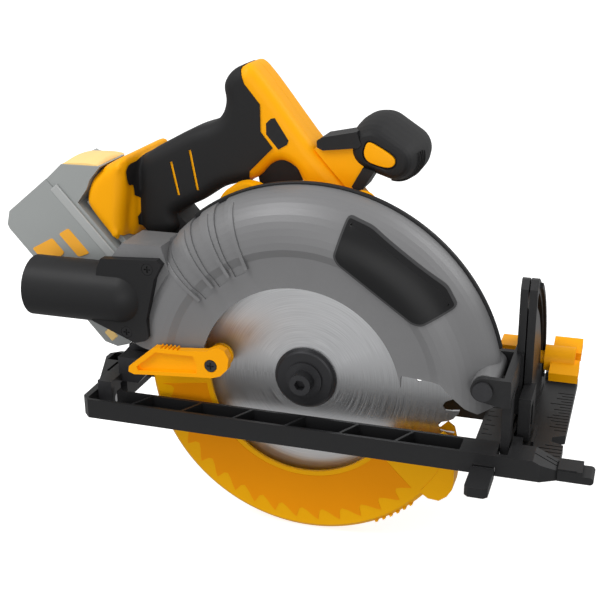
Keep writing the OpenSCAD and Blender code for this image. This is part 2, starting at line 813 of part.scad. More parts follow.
module outer_flange() {
    color("#1f1f20") difference() {
        union() {
            yrev(0, arbor_z) polygon([
                [0, -plate_t / 2], [flange_r, -plate_t / 2], [flange_r, -1.8],
                [flange_r - 1.4, -3.6], [flange_r - 2.4, -4.2], [0, -4.2]]);
            ycyl(0, arbor_z, -5.6, -4.1, 11, 64);
        }
        ycyl(0, arbor_z, -3.65, 0, nose_r + fit, 64);
        ycyl(0, arbor_z, -10, 0, 4, 48);
    }
}

module blade_bolt() {
    color("#2c2d2f") difference() {
        union() {
            ycyl(0, arbor_z, -13.3, -5.6, 6.4, 64);
            ycyl(0, arbor_z, -5.6, 17, 3.95, 48);
        }
        ycyl(0, arbor_z, -14, -8.3, 3.4, 6);
    }
}

// ---------------------------------------------------------------- lower guard

module lower_region() {
    // sector from the rear stop round to the flat-topped front
    polygon(concat(arc([0, arbor_z], 110, -190, -41, 40), [[91.6, -25], [91.2, -5], [88.5, 6],
        [84.5, 9],
        [80, 4.5], [48, 4.5], [25, 8], [0, arbor_z], polar(60, -192)]));
}

// Bumper that rides up on the work
module front_lobe() {
    difference() {
        polygon([[70, -28], [74, -33], [77, -35], [83.5, -35.5], [88, -32], [91, -27], [91.8, -21],
            [91.4, -6], [80, -6]]);
        translate([0, arbor_z]) circle(r = lower_r - 3.4, $fn = 96);
    }
}

module lower_guard() {
    y1 = 8;
    wall = 1.8;
    color("#f6a21c") difference() {
        union() {
            intersection() {
                yrev(0, arbor_z) polygon([
                    [24.2, y1 - wall], [lower_r - wall, y1 - wall], [lower_r - wall, wall - y1],
                    [58.5, wall - y1], [58.5, -y1], [lower_r - 2.6, -y1], [lower_r, 2.6 - y1],
                    [lower_r, y1], [24.2, y1]]);
                yplate(-20, 20) lower_region();
            }
            yring(0, arbor_z, y1 - 2, y1 - 0.1, 28.5, 24.6, 96);
            yplate(-y1 - 0.4, y1 - 0.2) front_lobe();
            // lip along the flat top of the near wall
            box([54, -y1 - 1.2, 2.6], [80, wall - y1 - 0.1, 4.4]);
            // serrations on the rim
            for (i = [0:5]) translate([0, 0, arbor_z]) rotate([0, 47 + i * 3, 0])
                box([lower_r - 0.5, -y1 + 1, -0.8], [lower_r + 0.7, y1 - 1, 0.8]);
            // ear that carries the lever
            intersection() {
                ycyl(lever_x, lever_z, -y1 + 0.1, wall - y1 + 0.2, 7.4, 48);
                ycyl(0, arbor_z, -y1 + 0.1, wall - y1 + 0.2, 60, 96);
            }
            ycyl(lever_x, lever_z, -19.4, -y1, 5.4, 48);
        }
        ycyl(lever_x, lever_z, -20, -3, 1.9, 32);
    }
}

lever_x = -50.9;
lever_z = 40.2;

module guard_lever() {
    outline = [
        [-104, 33.5], [-87, 47.6], [-71, 47.4], [-54, 49], [-50, 51], [-46, 52.2], [-42, 50.6],
        [-39.4, 46], [-40.5, 39], [-45, 34.4], [-50, 32.6], [-90, 29.6], [-101, 28.6], [-104.6, 30]];
    color("#f0a81e") difference() {
        union() {
            yplate(-24.6, -19.4) polygon(outline);
            for (i = [0:4]) translate([-84 + i * 2.6, 0, 46.6]) rotate([0, 35, 0]) box([-0.5, -24.6,
                0], [0.5, -19.4, 2.2]);
        }
        yplate(-25, -22.2) polygon([[-99, 33.8], [-86, 44.6], [-62, 45], [-60, 40], [-60, 34.4],
            [-98, 31.4]]);
        ycyl(lever_x, lever_z, -30, -10, 2, 32);
        ycyl(lever_x, lever_z, -30, -23, 4, 32);
    }
}

module lever_screw() {
    color("#3a3b3d") yscrew(lever_x, lever_z, -24.8, -8, 3.6, 1.85, 1.8);
}

// ---------------------------------------------------------------- handle

grip_y0 = handle_y - grip_w / 2;
grip_y1 = handle_y + grip_w / 2;

// Whole side outline of the handle: foot, grip, horn and column
function grip_top() = [[-119, 143], [-113, 149.5], [-97, 158.5], [-84, 165], [-70, 170], [-64, 176],
    [-61.5, 184], [-62, 193], [-58, 200], [-52, 204], [-44, 204.5]];

function column_front() = [[-41, 203], [-12, 165.5], [0, 151.5], [14, 136], [27, 120], [30, 104],
    [24, 74]];

function column_rear() = [[-8, 86], [-11, 112], [-14, 128], [-20, 140], [-27, 149]];

function grip_under() = [[-44, 139], [-56, 134.5], [-64, 131.5], [-79, 122], [-95, 115.5], [-100, 112],
    [-92, 104], [-100, 96.5]];

module handle_outline() {
    polygon(concat(grip_top(), column_front(), column_rear(), grip_under(), [[-117, 96.5],
        [-122, 104], [-122, 136]]));
}

// Rubber-covered part of the outline
module rubber_region() {
    polygon(concat([[-119.5, 143]], [for (p = grip_top()) if (p[0] > -118 && p[0] < -46) p],
        [[-51.5, 201.5], [-48, 195], [-38.5, 183], [-38.5, 167], [-30, 157.5], [-47, 142.5],
            [-48, 137.4]],
        [for (p = grip_under()) if (p[0] < -50 && p[1] > 105) p],
        [[-96, 104], [-99, 98.6], [-117, 98.6], [-122, 104], [-122, 109.5], [-119, 113],
            [-118, 120], [-121.5, 125]]));
}

rubber_t = 1.6;

// Bell that widens from the grip to the battery's rail; also used hollow
module foot_bell(inset) {
    w0 = grip_w / 2 - inset;
    w1 = pack_w / 2 - 1 - inset;
    hull() {
        yplate(handle_y - w0, handle_y + w0) polygon([
            [-121 + inset, 143 - inset], [-121 + inset, 104 + inset], [-119, 98 + inset],
                [-119, 148 - inset]]);
        yplate(handle_y - w1, handle_y + w1) polygon([
            [-132, 143.6 - inset], [-141, 136 - inset], [-146 + inset / 2, 126.5],
                [-145 + inset / 2, 117],
            [-130, 100 + inset], [-125 - inset, 106]]);
    }
}

// Skin of rubber over the grip; out widens it past the surface to cut its seat
module rubber_solid(out) {
    difference() {
        yplate(grip_y0 - out, grip_y1 + out) intersection() {
            rubber_region();
            offset(delta = out) handle_outline();
        }
        yplate(grip_y0 + rubber_t, grip_y1 - rubber_t) offset(delta = -rubber_t) handle_outline();
    }
}

module handle_shell() {
    difference() {
        union() {
            difference() {
                yplate(grip_y0, grip_y1) handle_outline();
                rubber_solid(1);
            }
            foot_bell(0);
        }
        // hollow, with the screws' bosses left standing
        difference() {
            union() {
                yplate(grip_y0 + rubber_t + shell_t, grip_y1 - rubber_t - shell_t)
                    offset(delta = -rubber_t - shell_t) handle_outline();
                foot_bell(shell_t);
            }
            for (p = handle_screw_at) ycyl(p[0], p[1], grip_y0, grip_y1, 4.6, 32);
        }
        // seats of the trigger, the button, the inserts and the motor
        yplate(handle_y - 10, handle_y + 10) polygon([[-44, 128], [-13, 120], [-13, 150],
            [-20, 156], [-46, 156]]);
        ycyl(lock_button_x, lock_button_z, handle_y, grip_y1 + 5, 4.6, 32);
        ycyl(motor_x, motor_z, 30, 100, motor_r, 128);
        column_insert_cut();
        ycyl(trigger_x, trigger_z, grip_y0 + 3, grip_y1 - 3, 2, 32);
        for (p = handle_screw_at) ycyl(p[0], p[1], grip_y0 + 10, grip_y1 + 2, 2.1, 32);
        for (p = handle_screw_at) ycyl(p[0], p[1], grip_y1 - 3, grip_y1 + 2, 4, 32);
        in_pack() box([-60, -5, -20], [pack_len + 60, pack_w + 5, pack_t + 6.4]);
        // strut from the motor housing meets the lobe
        yplate(handle_y - 13, handle_y + 13) strut_outline();
    }
    // rails that hook round the pack's slide
    in_pack() for (s = [0, 1]) translate([0, s * pack_w, 0]) mirror([0, s, 0]) {
        box([28, 1, pack_t + 0.6], [56, 5.6, pack_t + 6.5]);
        box([28, 1, pack_t + 0.6], [56, 9.5, pack_t + 2.2]);
    }
}

module strut_outline() {
    polygon([[-116, 98], [-110, 103], [-99, 115], [-92, 107], [-58, 76], [-44, 62], [-46, 50],
        [-56, 54],
        [-84, 78], [-104, 93]]);
}

// Brace from the motor housing up to the rear of the grip
module handle_strut() {
    color("#262627") difference() {
        yplate(handle_y - 13, handle_y + 13) strut_outline();
        yplate(handle_y - 9, handle_y + 9) offset(delta = -3) strut_outline();
        ycyl(motor_x, motor_z, 30, 100, motor_r, 128);
    }
}

lock_button_x = -52;
lock_button_z = 158;
handle_screw_at = [[-7, 147], [10, 126], [-46, 190], [-111, 122]];

module column_insert_shape() {
    polygon([[-32, 175.5], [-29.5, 176], [-21, 163], [-22, 160.5], [-27.5, 157.2], [-35, 166],
        [-35, 172.5]]);
}

module column_insert_cut() {
    for (y = [grip_y0 - 1, grip_y1 - 1]) yplate(y, y + 2) column_insert_shape();
}

module column_inserts() {
    color("#1e1e1f") for (y = [grip_y0 - 0.3, grip_y1 - 1]) yplate(y, y + 1.3)
        offset(delta = -0.1) column_insert_shape();
}

module handle_right() {
    color("#f6a313") intersection() {
        handle_shell();
        box([-200, -50, 0], [100, handle_y, 250]);
    }
}

module handle_left() {
    color("#f6a313") intersection() {
        handle_shell();
        box([-200, handle_y, 0], [100, 150, 250]);
    }
}

module rubber_grip() {
    color("#202021") difference() {
        rubber_solid(0);
        foot_bell(0);
        yplate(handle_y - 13, handle_y + 13) strut_outline();
        yplate(handle_y - 10, handle_y + 10) polygon([[-44, 128], [-13, 120], [-13, 150],
            [-20, 156], [-46, 156]]);
        ycyl(lock_button_x, lock_button_z, handle_y, grip_y1 + 5, 4.6, 32);
        ycyl(-46, 190, grip_y1 - 3, grip_y1 + 2, 4, 32);
        ycyl(-111, 122, grip_y1 - 3, grip_y1 + 2, 4, 32);
        // slits that show the shell below
        for (s = [[-96.6, 145, -92.6, 125],
            [-84, 153, -80, 129]]) yplate(grip_y0 - 1, grip_y1 + 1) polygon([
            [s[0] - 1, s[1]], [s[0] + 1, s[1]], [s[2] + 1, s[3]], [s[2] - 1, s[3]]]);
    }
}

module handle_screws() {
    color("#55575a") for (p = handle_screw_at) {
        ycyl(p[0], p[1], grip_y1 - 3, grip_y1 - 0.6, 3.8, 32);
        ycyl(p[0], p[1], grip_y0 + 11, grip_y1 - 3, 2.05, 32);
    }
}

module switch_module() {
    color("#3b3c3e") {
        box([-76, handle_y - 9, 144], [-58, handle_y + 9, 160]);
        ycyl(trigger_x, trigger_z, grip_y0 + 3, grip_y1 - 3, 1.95, 32);
    }
}

module control_board() {
    color("#2e6b3a") in_pack() box([28, pack_w / 2 - 13, pack_t + 15],
        [46, pack_w / 2 + 13, pack_t + 17]);
}

module terminal_block() {
    color("#2a2a2b") in_pack() {
        box([27, pack_w / 2 - 16, pack_t + 6.6], [50, pack_w / 2 + 16, pack_t + 14]);
    }
}

// ---------------------------------------------------------------- front knob

knob_a = [28, 160];
knob_b = [41.5, 153.5];

module knob_slice(y, ra, rb) {
    yplate(y, y + 0.6) hull() {
        translate(knob_a) circle(r = ra, $fn = 32);
        translate(knob_b) circle(r = rb, $fn = 32);
    }
}

module knob_grip() {
    color("#202021") difference() {
        hull() {
            knob_slice(grip_y0, 9.4, 8.4);
            knob_slice(grip_y0 + 16, 15, 13);
            knob_slice(grip_y0 + 32, 17, 15);
            knob_slice(grip_y0 + 46, 16, 14);
            knob_slice(grip_y0 + 58, 9, 7);
        }
        yplate(grip_y0 - 1, grip_y0 + 2) knob_insert_shape(0.1);
        knob_frame_solid();
    }
}

module knob_insert_shape(grow) {
    offset(delta = grow) polygon([[27, 165.4], [29, 165], [42.6, 157.2], [44, 154], [42.6, 150.4],
        [39, 149.6], [26, 153],
        [24, 158], [24.6, 163]]);
}

module knob_insert() {
    color("#f6a313") yplate(grip_y0 - 0.3, grip_y0 + 2) knob_insert_shape(0);
}

module knob_frame_solid() {
    yplate(grip_y0 - 0.4, grip_y0 + 18) {
        polygon([[-3.6, 160], [-3.8, 164], [-1, 166], [20, 170.4], [23, 163], [21, 161], [0, 158.4]]);
        polygon([[24, 149.6], [17.4, 138], [20, 135.6], [24.4, 137], [31, 148]]);
    }
}

module knob_frame() {
    color("#222223") difference() {
        knob_frame_solid();
        yplate(grip_y0, grip_y1 + 30) handle_outline();
    }
}

module knob_web() {
    color("#e09314") difference() {
        yplate(grip_y0 + 2, grip_y0 + 14) polygon([[-6, 158.6], [21, 161.4], [20, 156], [24, 149.4],
            [17, 136], [22, 110], [-6, 110]]);
        yplate(grip_y0, grip_y1 + 30) handle_outline();
        knob_frame_solid();
        hull() {
            knob_slice(grip_y0, 9.4, 8.4);
            knob_slice(grip_y0 + 16, 15, 13);
        }
    }
}

// ---------------------------------------------------------------- controls

trigger_x = -17;
trigger_z = 146;

module trigger() {
    color("#1a1a1b") difference() {
        yplate(handle_y - 9.4, handle_y + 9.4) {
            polygon([[-13.6, 147], [-14.5, 138], [-20, 134.6], [-27, 133.4], [-35, 131.6],
                [-42.6, 134.6], [-43.4, 139],
                [-34, 147.4], [-27, 150.6], [-20, 150]]);
        }
        ycyl(trigger_x, trigger_z, 0, 100, 2, 32);
    }
}

module lock_off_button() {
    color("#2a2a2b") ycyl(lock_button_x, lock_button_z, handle_y + 2, grip_y1 + 2.5, 4.2, 32);
}

module spindle_lock_button() {
    color("#d0402c") {
        ycyl(lock_x, lock_z, 30, 36, lock_r, 32);
        ycyl(lock_x, lock_z, 36, 41, 6, 32);
    }
}

module depth_lever() {
    color("#f0a81e") {
        ycyl(lock_bolt_x, lock_bolt_z, 27.4, 37, 7.5, 48);
        translate([lock_bolt_x, 0, lock_bolt_z]) yplate(31, 37) polygon([
            [-2, 7], [6, 7], [26, 1], [29, -3], [27, -7], [22, -8], [5, -6], [-2, -7]]);
    }
    color("silver") {
        ycyl(lock_bolt_x, lock_bolt_z, 14, 27.4, 2.95, 32);
    }
}

// ---------------------------------------------------------------- battery

// Side outline of the pack in its own frame, with the latch housing at the upper end
module pack_outline() {
    polygon([[0, -1.5], [3, -2.6], [97, -3.2], [104.5, 1.6], [108, 9], [108, 41], [104, 42], [-3, 42],
        [-5, 6]]);
}

module pack_top_outline() {
    polygon([[-3, 41.9], [104, 41.9], [104, pack_t - 3], [101, pack_t], [21, pack_t], [19, 59],
        [16.2, 65], [14.8, 76.6], [-3, 56.6]]);
}

module pack_prism(y0, y1) {
    translate([0, y1, 0]) rotate([90, 0, 0]) linear_extrude(y1 - y0) children();
}

module battery_case() {
    color("#a9aaab") in_pack() difference() {
        union() {
            pack_prism(0, pack_w) pack_outline();
            pack_prism(1.4, pack_w - 1.4) pack_top_outline();
            // slide rail on the tool side
            box([24, 10, pack_t - 1], [pack_len - 8, pack_w - 10, pack_t + 2.6]);
            box([24, 6, pack_t + 2.6], [pack_len - 8, pack_w - 6, pack_t + 6]);
        }
        box([4, 3, 2], [pack_len - 4, pack_w - 3, 21]);
        box([4, 3, 20.9], [pack_len - 4, pack_w - 3, pack_t - 7.4]);
        translate([0, 0, -1]) box([-20, -1, -20], [pack_len + 20, pack_w + 1, 13]);
        // the latch housing falls away on the far side
        translate([-30, 0, 0]) rotate([90, 0, 90]) linear_extrude(52.5)
            polygon([[30, 90], [39, 66], [46, 58], [80, 40], [80, 90]]);
        // seat of the release button
        translate([7, 31, 67.6]) rotate([0, -pack_tilt, 0]) box([-12.4, -26, -5.4], [10.4, -1, 20]);
    }
}

module battery_cover() {
    color("#c9c2a8") in_pack() difference() {
        intersection() {
            pack_prism(0, pack_w) pack_outline();
            box([-20, 0, -20], [pack_len + 20, pack_w, 12]);
        }
        box([4, 3, 2], [pack_len - 4, pack_w - 3, 21]);
    }
}

module battery_cells() {
    color("#3b78b5") in_pack() for (i = [0:4]) for (k = [0, 1])
        translate([13.4 + i * 18.5, 4, 12.4 + k * 18.5]) rotate([-90, 0, 0]) cylinder(r = 9.2,
            h = 65, $fn = 40);
}

module battery_button() {
    color("#f2a51d") in_pack() translate([7, 31, 67.6]) rotate([0, -pack_tilt, 0]) difference() {
        box([-12, -25.6, -3.4], [10, -1.4, 1.4]);
        for (i = [0:3]) box([-9 + i * 3, -23, 0.7], [-8 + i * 3, -4, 3]);
    }
}

// ---------------------------------------------------------------- output

base_frame();
quadrant_plate();
cut_line_guide();
bevel_pins();
fence_bar();
fence_cap();
fence_screw();
bevel_bracket();
depth_guide();
bevel_bolt();
bevel_knob();
depth_pin();
upper_guard();
badge_panel();
guard_gasket();
gear_case();
dust_port();
dust_port_screws();
guard_screws();
front_bearing();
rear_bearing();
motor_bearings();
stator();
motor_housing();
motor_end_cap();
handle_right();
handle_left();
rubber_grip();
column_inserts();
knob_frame();
knob_web();
knob_grip();
knob_insert();
switch_module();
control_board();
terminal_block();
handle_screws();
handle_strut();
guard_spring();
blade();
blade_tips();
inner_flange();
outer_flange();
blade_bolt();
spindle();
output_gear();
rotor_shaft();
rotor_core();
fan();
lower_guard();
guard_lever();
lever_screw();
trigger();
lock_off_button();
spindle_lock_button();
depth_lever();
battery_case();
battery_cover();
battery_cells();
battery_button();
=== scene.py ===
"""Looks of the cordless circular saw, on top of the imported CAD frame."""
import math

import bmesh
import bpy
from mathutils import Matrix, Vector
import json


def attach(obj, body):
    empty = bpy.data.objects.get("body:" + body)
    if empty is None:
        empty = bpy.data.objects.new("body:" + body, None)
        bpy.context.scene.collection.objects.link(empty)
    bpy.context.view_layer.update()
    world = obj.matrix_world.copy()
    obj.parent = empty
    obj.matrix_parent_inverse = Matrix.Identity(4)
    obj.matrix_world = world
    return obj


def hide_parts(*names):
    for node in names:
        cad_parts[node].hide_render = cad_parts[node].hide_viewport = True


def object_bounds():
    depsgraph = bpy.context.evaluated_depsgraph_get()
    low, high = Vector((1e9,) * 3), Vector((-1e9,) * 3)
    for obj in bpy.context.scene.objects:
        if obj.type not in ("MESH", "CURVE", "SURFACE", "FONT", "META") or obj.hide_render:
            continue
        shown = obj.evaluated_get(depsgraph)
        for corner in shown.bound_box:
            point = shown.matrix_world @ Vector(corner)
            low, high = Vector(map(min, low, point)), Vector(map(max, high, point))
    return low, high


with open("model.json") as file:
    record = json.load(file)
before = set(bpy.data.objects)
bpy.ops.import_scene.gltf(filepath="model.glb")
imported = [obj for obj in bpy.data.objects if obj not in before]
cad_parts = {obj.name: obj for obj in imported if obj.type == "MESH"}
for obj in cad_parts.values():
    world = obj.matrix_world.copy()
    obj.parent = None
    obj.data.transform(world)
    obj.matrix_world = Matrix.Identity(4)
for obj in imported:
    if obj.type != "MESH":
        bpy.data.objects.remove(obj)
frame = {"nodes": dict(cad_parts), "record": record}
cad_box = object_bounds()
NODES = frame["nodes"]
MM = 0.001
SLOT_OF = {part["node"]: part["material_slot"] for part in frame["record"]["subparts"]}

# main places of the saw in millimetres, in the frame's own X, Y and Z
ARBOR = Vector((0.0, 29.5))  # X and Z of the blade's shaft
MOTOR = Vector((-12.68, 56.69))  # X and Z of the rotor's shaft
MOTOR_ROOM_R = 36.0
HANDLE_Y = 52.0
GRIP_W = 34.0

# the battery pack: its corner, its tilt and the box that its fittings are measured from
PACK_AT = Vector((-203.0, 0.0, 104.0))
PACK_TILT = math.radians(48)
PACK_LEN, PACK_W, PACK_T = 108.0, 74.0, 48.0
PACK_Y0 = HANDLE_Y - PACK_W / 2


# ------------------------------------------------------------------ materials

def new_material(name):
    """An empty node material, its tree and its principled shader."""
    mat = bpy.data.materials.new(name)
    mat.use_nodes = True
    tree = mat.node_tree
    tree.nodes.clear()
    out = tree.nodes.new("ShaderNodeOutputMaterial")
    bsdf = tree.nodes.new("ShaderNodeBsdfPrincipled")
    tree.links.new(bsdf.outputs["BSDF"], out.inputs["Surface"])
    return mat, tree, bsdf


def set_inputs(bsdf, values):
    """Sets shader sockets to constants, by their names."""
    for key, value in values.items():
        bsdf.inputs[key].default_value = value


def noise(tree, vector, scale, detail=2.0):
    """Noise factor over a coordinate."""
    node = tree.nodes.new("ShaderNodeTexNoise")
    node.inputs["Scale"].default_value = scale
    node.inputs["Detail"].default_value = detail
    tree.links.new(vector, node.inputs["Vector"])
    return node.outputs["Fac"]


def map_range(tree, value, low, high, start=0.0, end=1.0):
    """A value between start and end, mapped to low and high."""
    node = tree.nodes.new("ShaderNodeMapRange")
    for key, number in (("From Min", start), ("From Max", end), ("To Min", low), ("To Max", high)):
        node.inputs[key].default_value = number
    tree.links.new(value, node.inputs["Value"])
    return node.outputs["Result"]


def mix_colour(tree, factor, one, two):
    """Colour between two constants or links, by a factor link."""
    node = tree.nodes.new("ShaderNodeMix")
    node.data_type = "RGBA"
    tree.links.new(factor, node.inputs[0])
    for socket, colour in ((node.inputs[6], one), (node.inputs[7], two)):
        if isinstance(colour, bpy.types.NodeSocket):
            tree.links.new(colour, socket)
        else:
            socket.default_value = colour
    return node.outputs[2]


def shade(colour, factor):
    """A colour made lighter or darker."""
    return tuple(min(1.0, c * factor) for c in colour[:3]) + (1.0,)


def bump(tree, bsdf, height, strength, distance=0.0002):
    """Bumps the shader's normal by a height; the distance is in metres."""
    node = tree.nodes.new("ShaderNodeBump")
    node.inputs["Strength"].default_value = strength
    node.inputs["Distance"].default_value = distance
    tree.links.new(height, node.inputs["Height"])
    tree.links.new(node.outputs["Normal"], bsdf.inputs["Normal"])


def edge_wear(tree, amount):
    """Mask that is bright on worn outer edges, broken up by noise."""
    geometry = tree.nodes.new("ShaderNodeNewGeometry")
    coords = tree.nodes.new("ShaderNodeTexCoord")
    edges = map_range(tree, geometry.outputs["Pointiness"], 0.0, amount, 0.53, 0.62)
    product = tree.nodes.new("ShaderNodeMath")
    product.operation = "MULTIPLY"
    tree.links.new(edges, product.inputs[0])
    tree.links.new(noise(tree, coords.outputs["Object"], 350.0, 4.0), product.inputs[1])
    return product.outputs["Value"]


def grain_material(name, colour, rough, grain=0.0004, strength=0.08, mottle=0.04, metallic=0.0,
                   specular=0.3, wear=0.0):
    """Moulded or coated surface: fine grain in the bump, slow variation in tone and roughness."""
    mat, tree, bsdf = new_material(name)
    coords = tree.nodes.new("ShaderNodeTexCoord").outputs["Object"]
    slow = noise(tree, coords, 28.0, 4.0)
    tone = mix_colour(tree, slow, shade(colour, 1 - mottle), shade(colour, 1 + mottle))
    if wear:
        tone = mix_colour(tree, edge_wear(tree, wear), tone, shade(colour, 2.2))
    tree.links.new(tone, bsdf.inputs["Base Color"])
    roughness = map_range(tree, slow, rough * 0.88, min(1.0, rough * 1.12))
    tree.links.new(roughness, bsdf.inputs["Roughness"])
    bump(tree, bsdf, noise(tree, coords, 1.0 / grain), strength)
    set_inputs(bsdf, {"Metallic": metallic, "Specular IOR Level": specular})
    return mat


def brushed_material(name, colour, rough, centre):
    """Ground steel disc: rings of fine scratches about the shaft, and two darker sectors painted in as a
    reflected dark streak band.
    """
    mat, tree, bsdf = new_material(name)
    coords = tree.nodes.new("ShaderNodeTexCoord").outputs["Object"]
    split = tree.nodes.new("ShaderNodeSeparateXYZ")
    tree.links.new(coords, split.inputs["Vector"])

    def arithmetic(kind, one, two=None):
        node = tree.nodes.new("ShaderNodeMath")
        node.operation = kind
        for socket, value in zip(node.inputs, (one, two)):
            if isinstance(value, bpy.types.NodeSocket):
                tree.links.new(value, socket)
            elif value is not None:
                socket.default_value = value
        return node.outputs["Value"]

    dx = arithmetic("SUBTRACT", split.outputs["X"], centre[0] * MM)
    dz = arithmetic("SUBTRACT", split.outputs["Z"], centre[1] * MM)
    square = arithmetic("ADD", arithmetic("MULTIPLY", dx, dx), arithmetic("MULTIPLY", dz, dz))
    radius = arithmetic("SQRT", square)
    angle = arithmetic("ARCTAN2", dz, dx)
    polar = tree.nodes.new("ShaderNodeCombineXYZ")
    tree.links.new(arithmetic("MULTIPLY", radius, 2600.0), polar.inputs["X"])
    tree.links.new(arithmetic("MULTIPLY", angle, 1.4), polar.inputs["Y"])
    scratches = noise(tree, polar.outputs["Vector"], 1.0, 3.0)
    # painted reflection: two darker sectors, level with the shaft on either side of it, stand in for a dark
    # streak band reflected in the steel
    dark = map_range(tree, arithmetic("ABSOLUTE", arithmetic("SINE", angle)), 0.0, 1.0, 0.05, 0.5)
    tone = mix_colour(tree, dark, shade(colour, 0.55), colour)
    contrast = map_range(tree, scratches, 0.0, 1.0, 0.3, 0.7)
    tone = mix_colour(tree, contrast, shade(colour, 0.8), tone)
    tree.links.new(tone, bsdf.inputs["Base Color"])
    roughness = map_range(tree, scratches, rough * 0.8, rough * 1.3, 0.3, 0.7)
    tree.links.new(roughness, bsdf.inputs["Roughness"])
    bump(tree, bsdf, scratches, 0.12, 0.0001)
    set_inputs(bsdf, {"Metallic": 1.0, "Anisotropic": 0.6})
    return mat


def clear_orange(name, colour, rough, see_through):
    """Tinted plastic: a share of the light passes straight on."""
    mat, tree, bsdf = new_material(name)
    coords = tree.nodes.new("ShaderNodeTexCoord").outputs["Object"]
    slow = noise(tree, coords, 40.0, 3.0)
    tone = mix_colour(tree, slow, shade(colour, 0.94), shade(colour, 1.06))
    tree.links.new(tone, bsdf.inputs["Base Color"])
    tree.links.new(map_range(tree, slow, rough * 0.85, rough * 1.15), bsdf.inputs["Roughness"])
    bump(tree, bsdf, noise(tree, coords, 1800.0), 0.05)
    set_inputs(bsdf, {"Specular IOR Level": 0.15})
    clear = tree.nodes.new("ShaderNodeBsdfTransparent")
    clear.inputs["Color"].default_value = colour
    blend = tree.nodes.new("ShaderNodeMixShader")
    blend.inputs["Fac"].default_value = see_through
    tree.links.new(bsdf.outputs["BSDF"], blend.inputs[1])
    tree.links.new(clear.outputs["BSDF"], blend.inputs[2])
    tree.links.new(blend.outputs["Shader"], tree.nodes["Material Output"].inputs["Surface"])
    return mat


def rgb(r, g, b):
    """Linear colour from an 8-bit display colour."""
    def lin(v):
        v /= 255.0
        return v / 12.92 if v <= 0.04045 else ((v + 0.055) / 1.055) ** 2.4
    return (lin(r), lin(g), lin(b), 1.0)


YELLOW = grain_material("yellow_plastic", rgb(255, 172, 0), 0.45, strength=0.06, specular=0.16)
BLACK = grain_material("black_plastic", rgb(30, 30, 31), 0.5, strength=0.12, wear=0.25, specular=0.25)
RUBBER = grain_material("black_rubber", rgb(29, 29, 30), 0.6, strength=0.25, specular=0.25)
BASE = grain_material("base_coating", rgb(30, 30, 31), 0.4, strength=0.15, wear=0.5, specular=0.3)
GREY = grain_material("guard_casting", rgb(120, 120, 121), 0.42, grain=0.0006, strength=0.2, metallic=0.2,
                      wear=0.2)
RIM_GREY = grain_material("rim_casting", rgb(60, 60, 61), 0.4, strength=0.1)
GLOSS = grain_material("gloss_panel", rgb(24, 24, 25), 0.35, strength=0.02, specular=0.2)
STEEL = grain_material("bright_steel", rgb(190, 190, 192), 0.3, metallic=1.0, strength=0.03)
DARK_STEEL = grain_material("blackened_steel", rgb(58, 58, 60), 0.38, metallic=0.6, strength=0.05, wear=0.4)
# the blade's colour holds a painted reflection: two darker sectors either side of the shaft
BLADE = brushed_material("blade_steel", rgb(236, 237, 239), 0.4, ARBOR)
CARBIDE = grain_material("carbide", rgb(200, 200, 202), 0.3, metallic=1.0)
ORANGE = clear_orange("orange_guard", rgb(255, 182, 0), 0.42, 0.12)
LEVER = grain_material("orange_lever", rgb(255, 168, 0), 0.4, strength=0.04, specular=0.16)
RED = grain_material("red_button", rgb(200, 60, 40), 0.4)
PACK = grain_material("pack_grey", rgb(156, 159, 158), 0.5, strength=0.1, specular=0.2)
PALE = grain_material("pack_pale", rgb(252, 214, 140), 0.5, strength=0.06, specular=0.2)
PACK_LIGHT = grain_material("pack_light", rgb(172, 174, 173), 0.5, strength=0.08, specular=0.2)
# painted shade: darker tone of the lower guard where the blade lies behind it
PAINTED_BLADE_SHADE = grain_material("painted_blade_shade", rgb(236, 146, 0), 0.5, strength=0.04, specular=0.1)
AMBER = grain_material("pack_amber", rgb(250, 178, 60), 0.5, strength=0.06, specular=0.2)
COPPER = grain_material("windings", rgb(180, 100, 50), 0.4, metallic=0.8)
GREEN = grain_material("board", rgb(40, 110, 60), 0.4)
BLUE = grain_material("cell_sleeve", rgb(50, 90, 150), 0.3)

SLOT_MATERIAL = {
    "base_black": BASE, "bracket_grey": DARK_STEEL, "plastic_black": BLACK, "plastic_yellow": YELLOW,
    "rubber_black": RUBBER, "guard_grey": GREY, "label_black": GLOSS, "steel": STEEL,
    "dark_steel": DARK_STEEL, "blade_steel": BLADE, "carbide": CARBIDE, "copper": COPPER,
    "guard_orange": ORANGE, "button_red": RED, "board_green": GREEN, "cell_blue": BLUE,
    "pack_grey": PACK, "pack_pale": PALE,
}
NODE_MATERIAL = {
    "depth_pin": DARK_STEEL, "dust_port_screws": BLACK, "battery_cover": PACK, "guard_lever": LEVER,
    "battery_button": PALE,
}


# ------------------------------------------------------------------ mesh helpers

def object_from(name, mesh, material):
    """A new object in the scene, of one material."""
    obj = bpy.data.objects.new(name, mesh)
    bpy.context.scene.collection.objects.link(obj)
    mesh.materials.clear()
    mesh.materials.append(material)
    return obj


def settle(obj):
    """Applies the modifiers of obj to its mesh."""
    depsgraph = bpy.context.evaluated_depsgraph_get()
    depsgraph.update()
    mesh = bpy.data.meshes.new_from_object(obj.evaluated_get(depsgraph))
    obj.modifiers.clear()
    obj.data = mesh
    return obj


def smooth_loop(points, steps=6):
    """Closed smooth curve through 2-D points in millimetres."""
    loop = []
    count = len(points)
    for i in range(count):
        p0, p1, p2, p3 = (Vector(points[(i + k) % count]) for k in (-1, 0, 1, 2))
        for s in range(steps):
            t = s / steps
            loop.append(0.5 * (2 * p1 + (p2 - p0) * t + (2 * p0 - 5 * p1 + 4 * p2 - p3) * t * t
                               + (3 * p1 - p0 - 3 * p2 + p3) * t * t * t))
    return loop


def disc_points(x, z, r, count):
    """Polygon for a circle in the side plane."""
    return [(x + r * math.cos(2 * math.pi * i / count), z + r * math.sin(2 * math.pi * i / count))
            for i in range(count)]


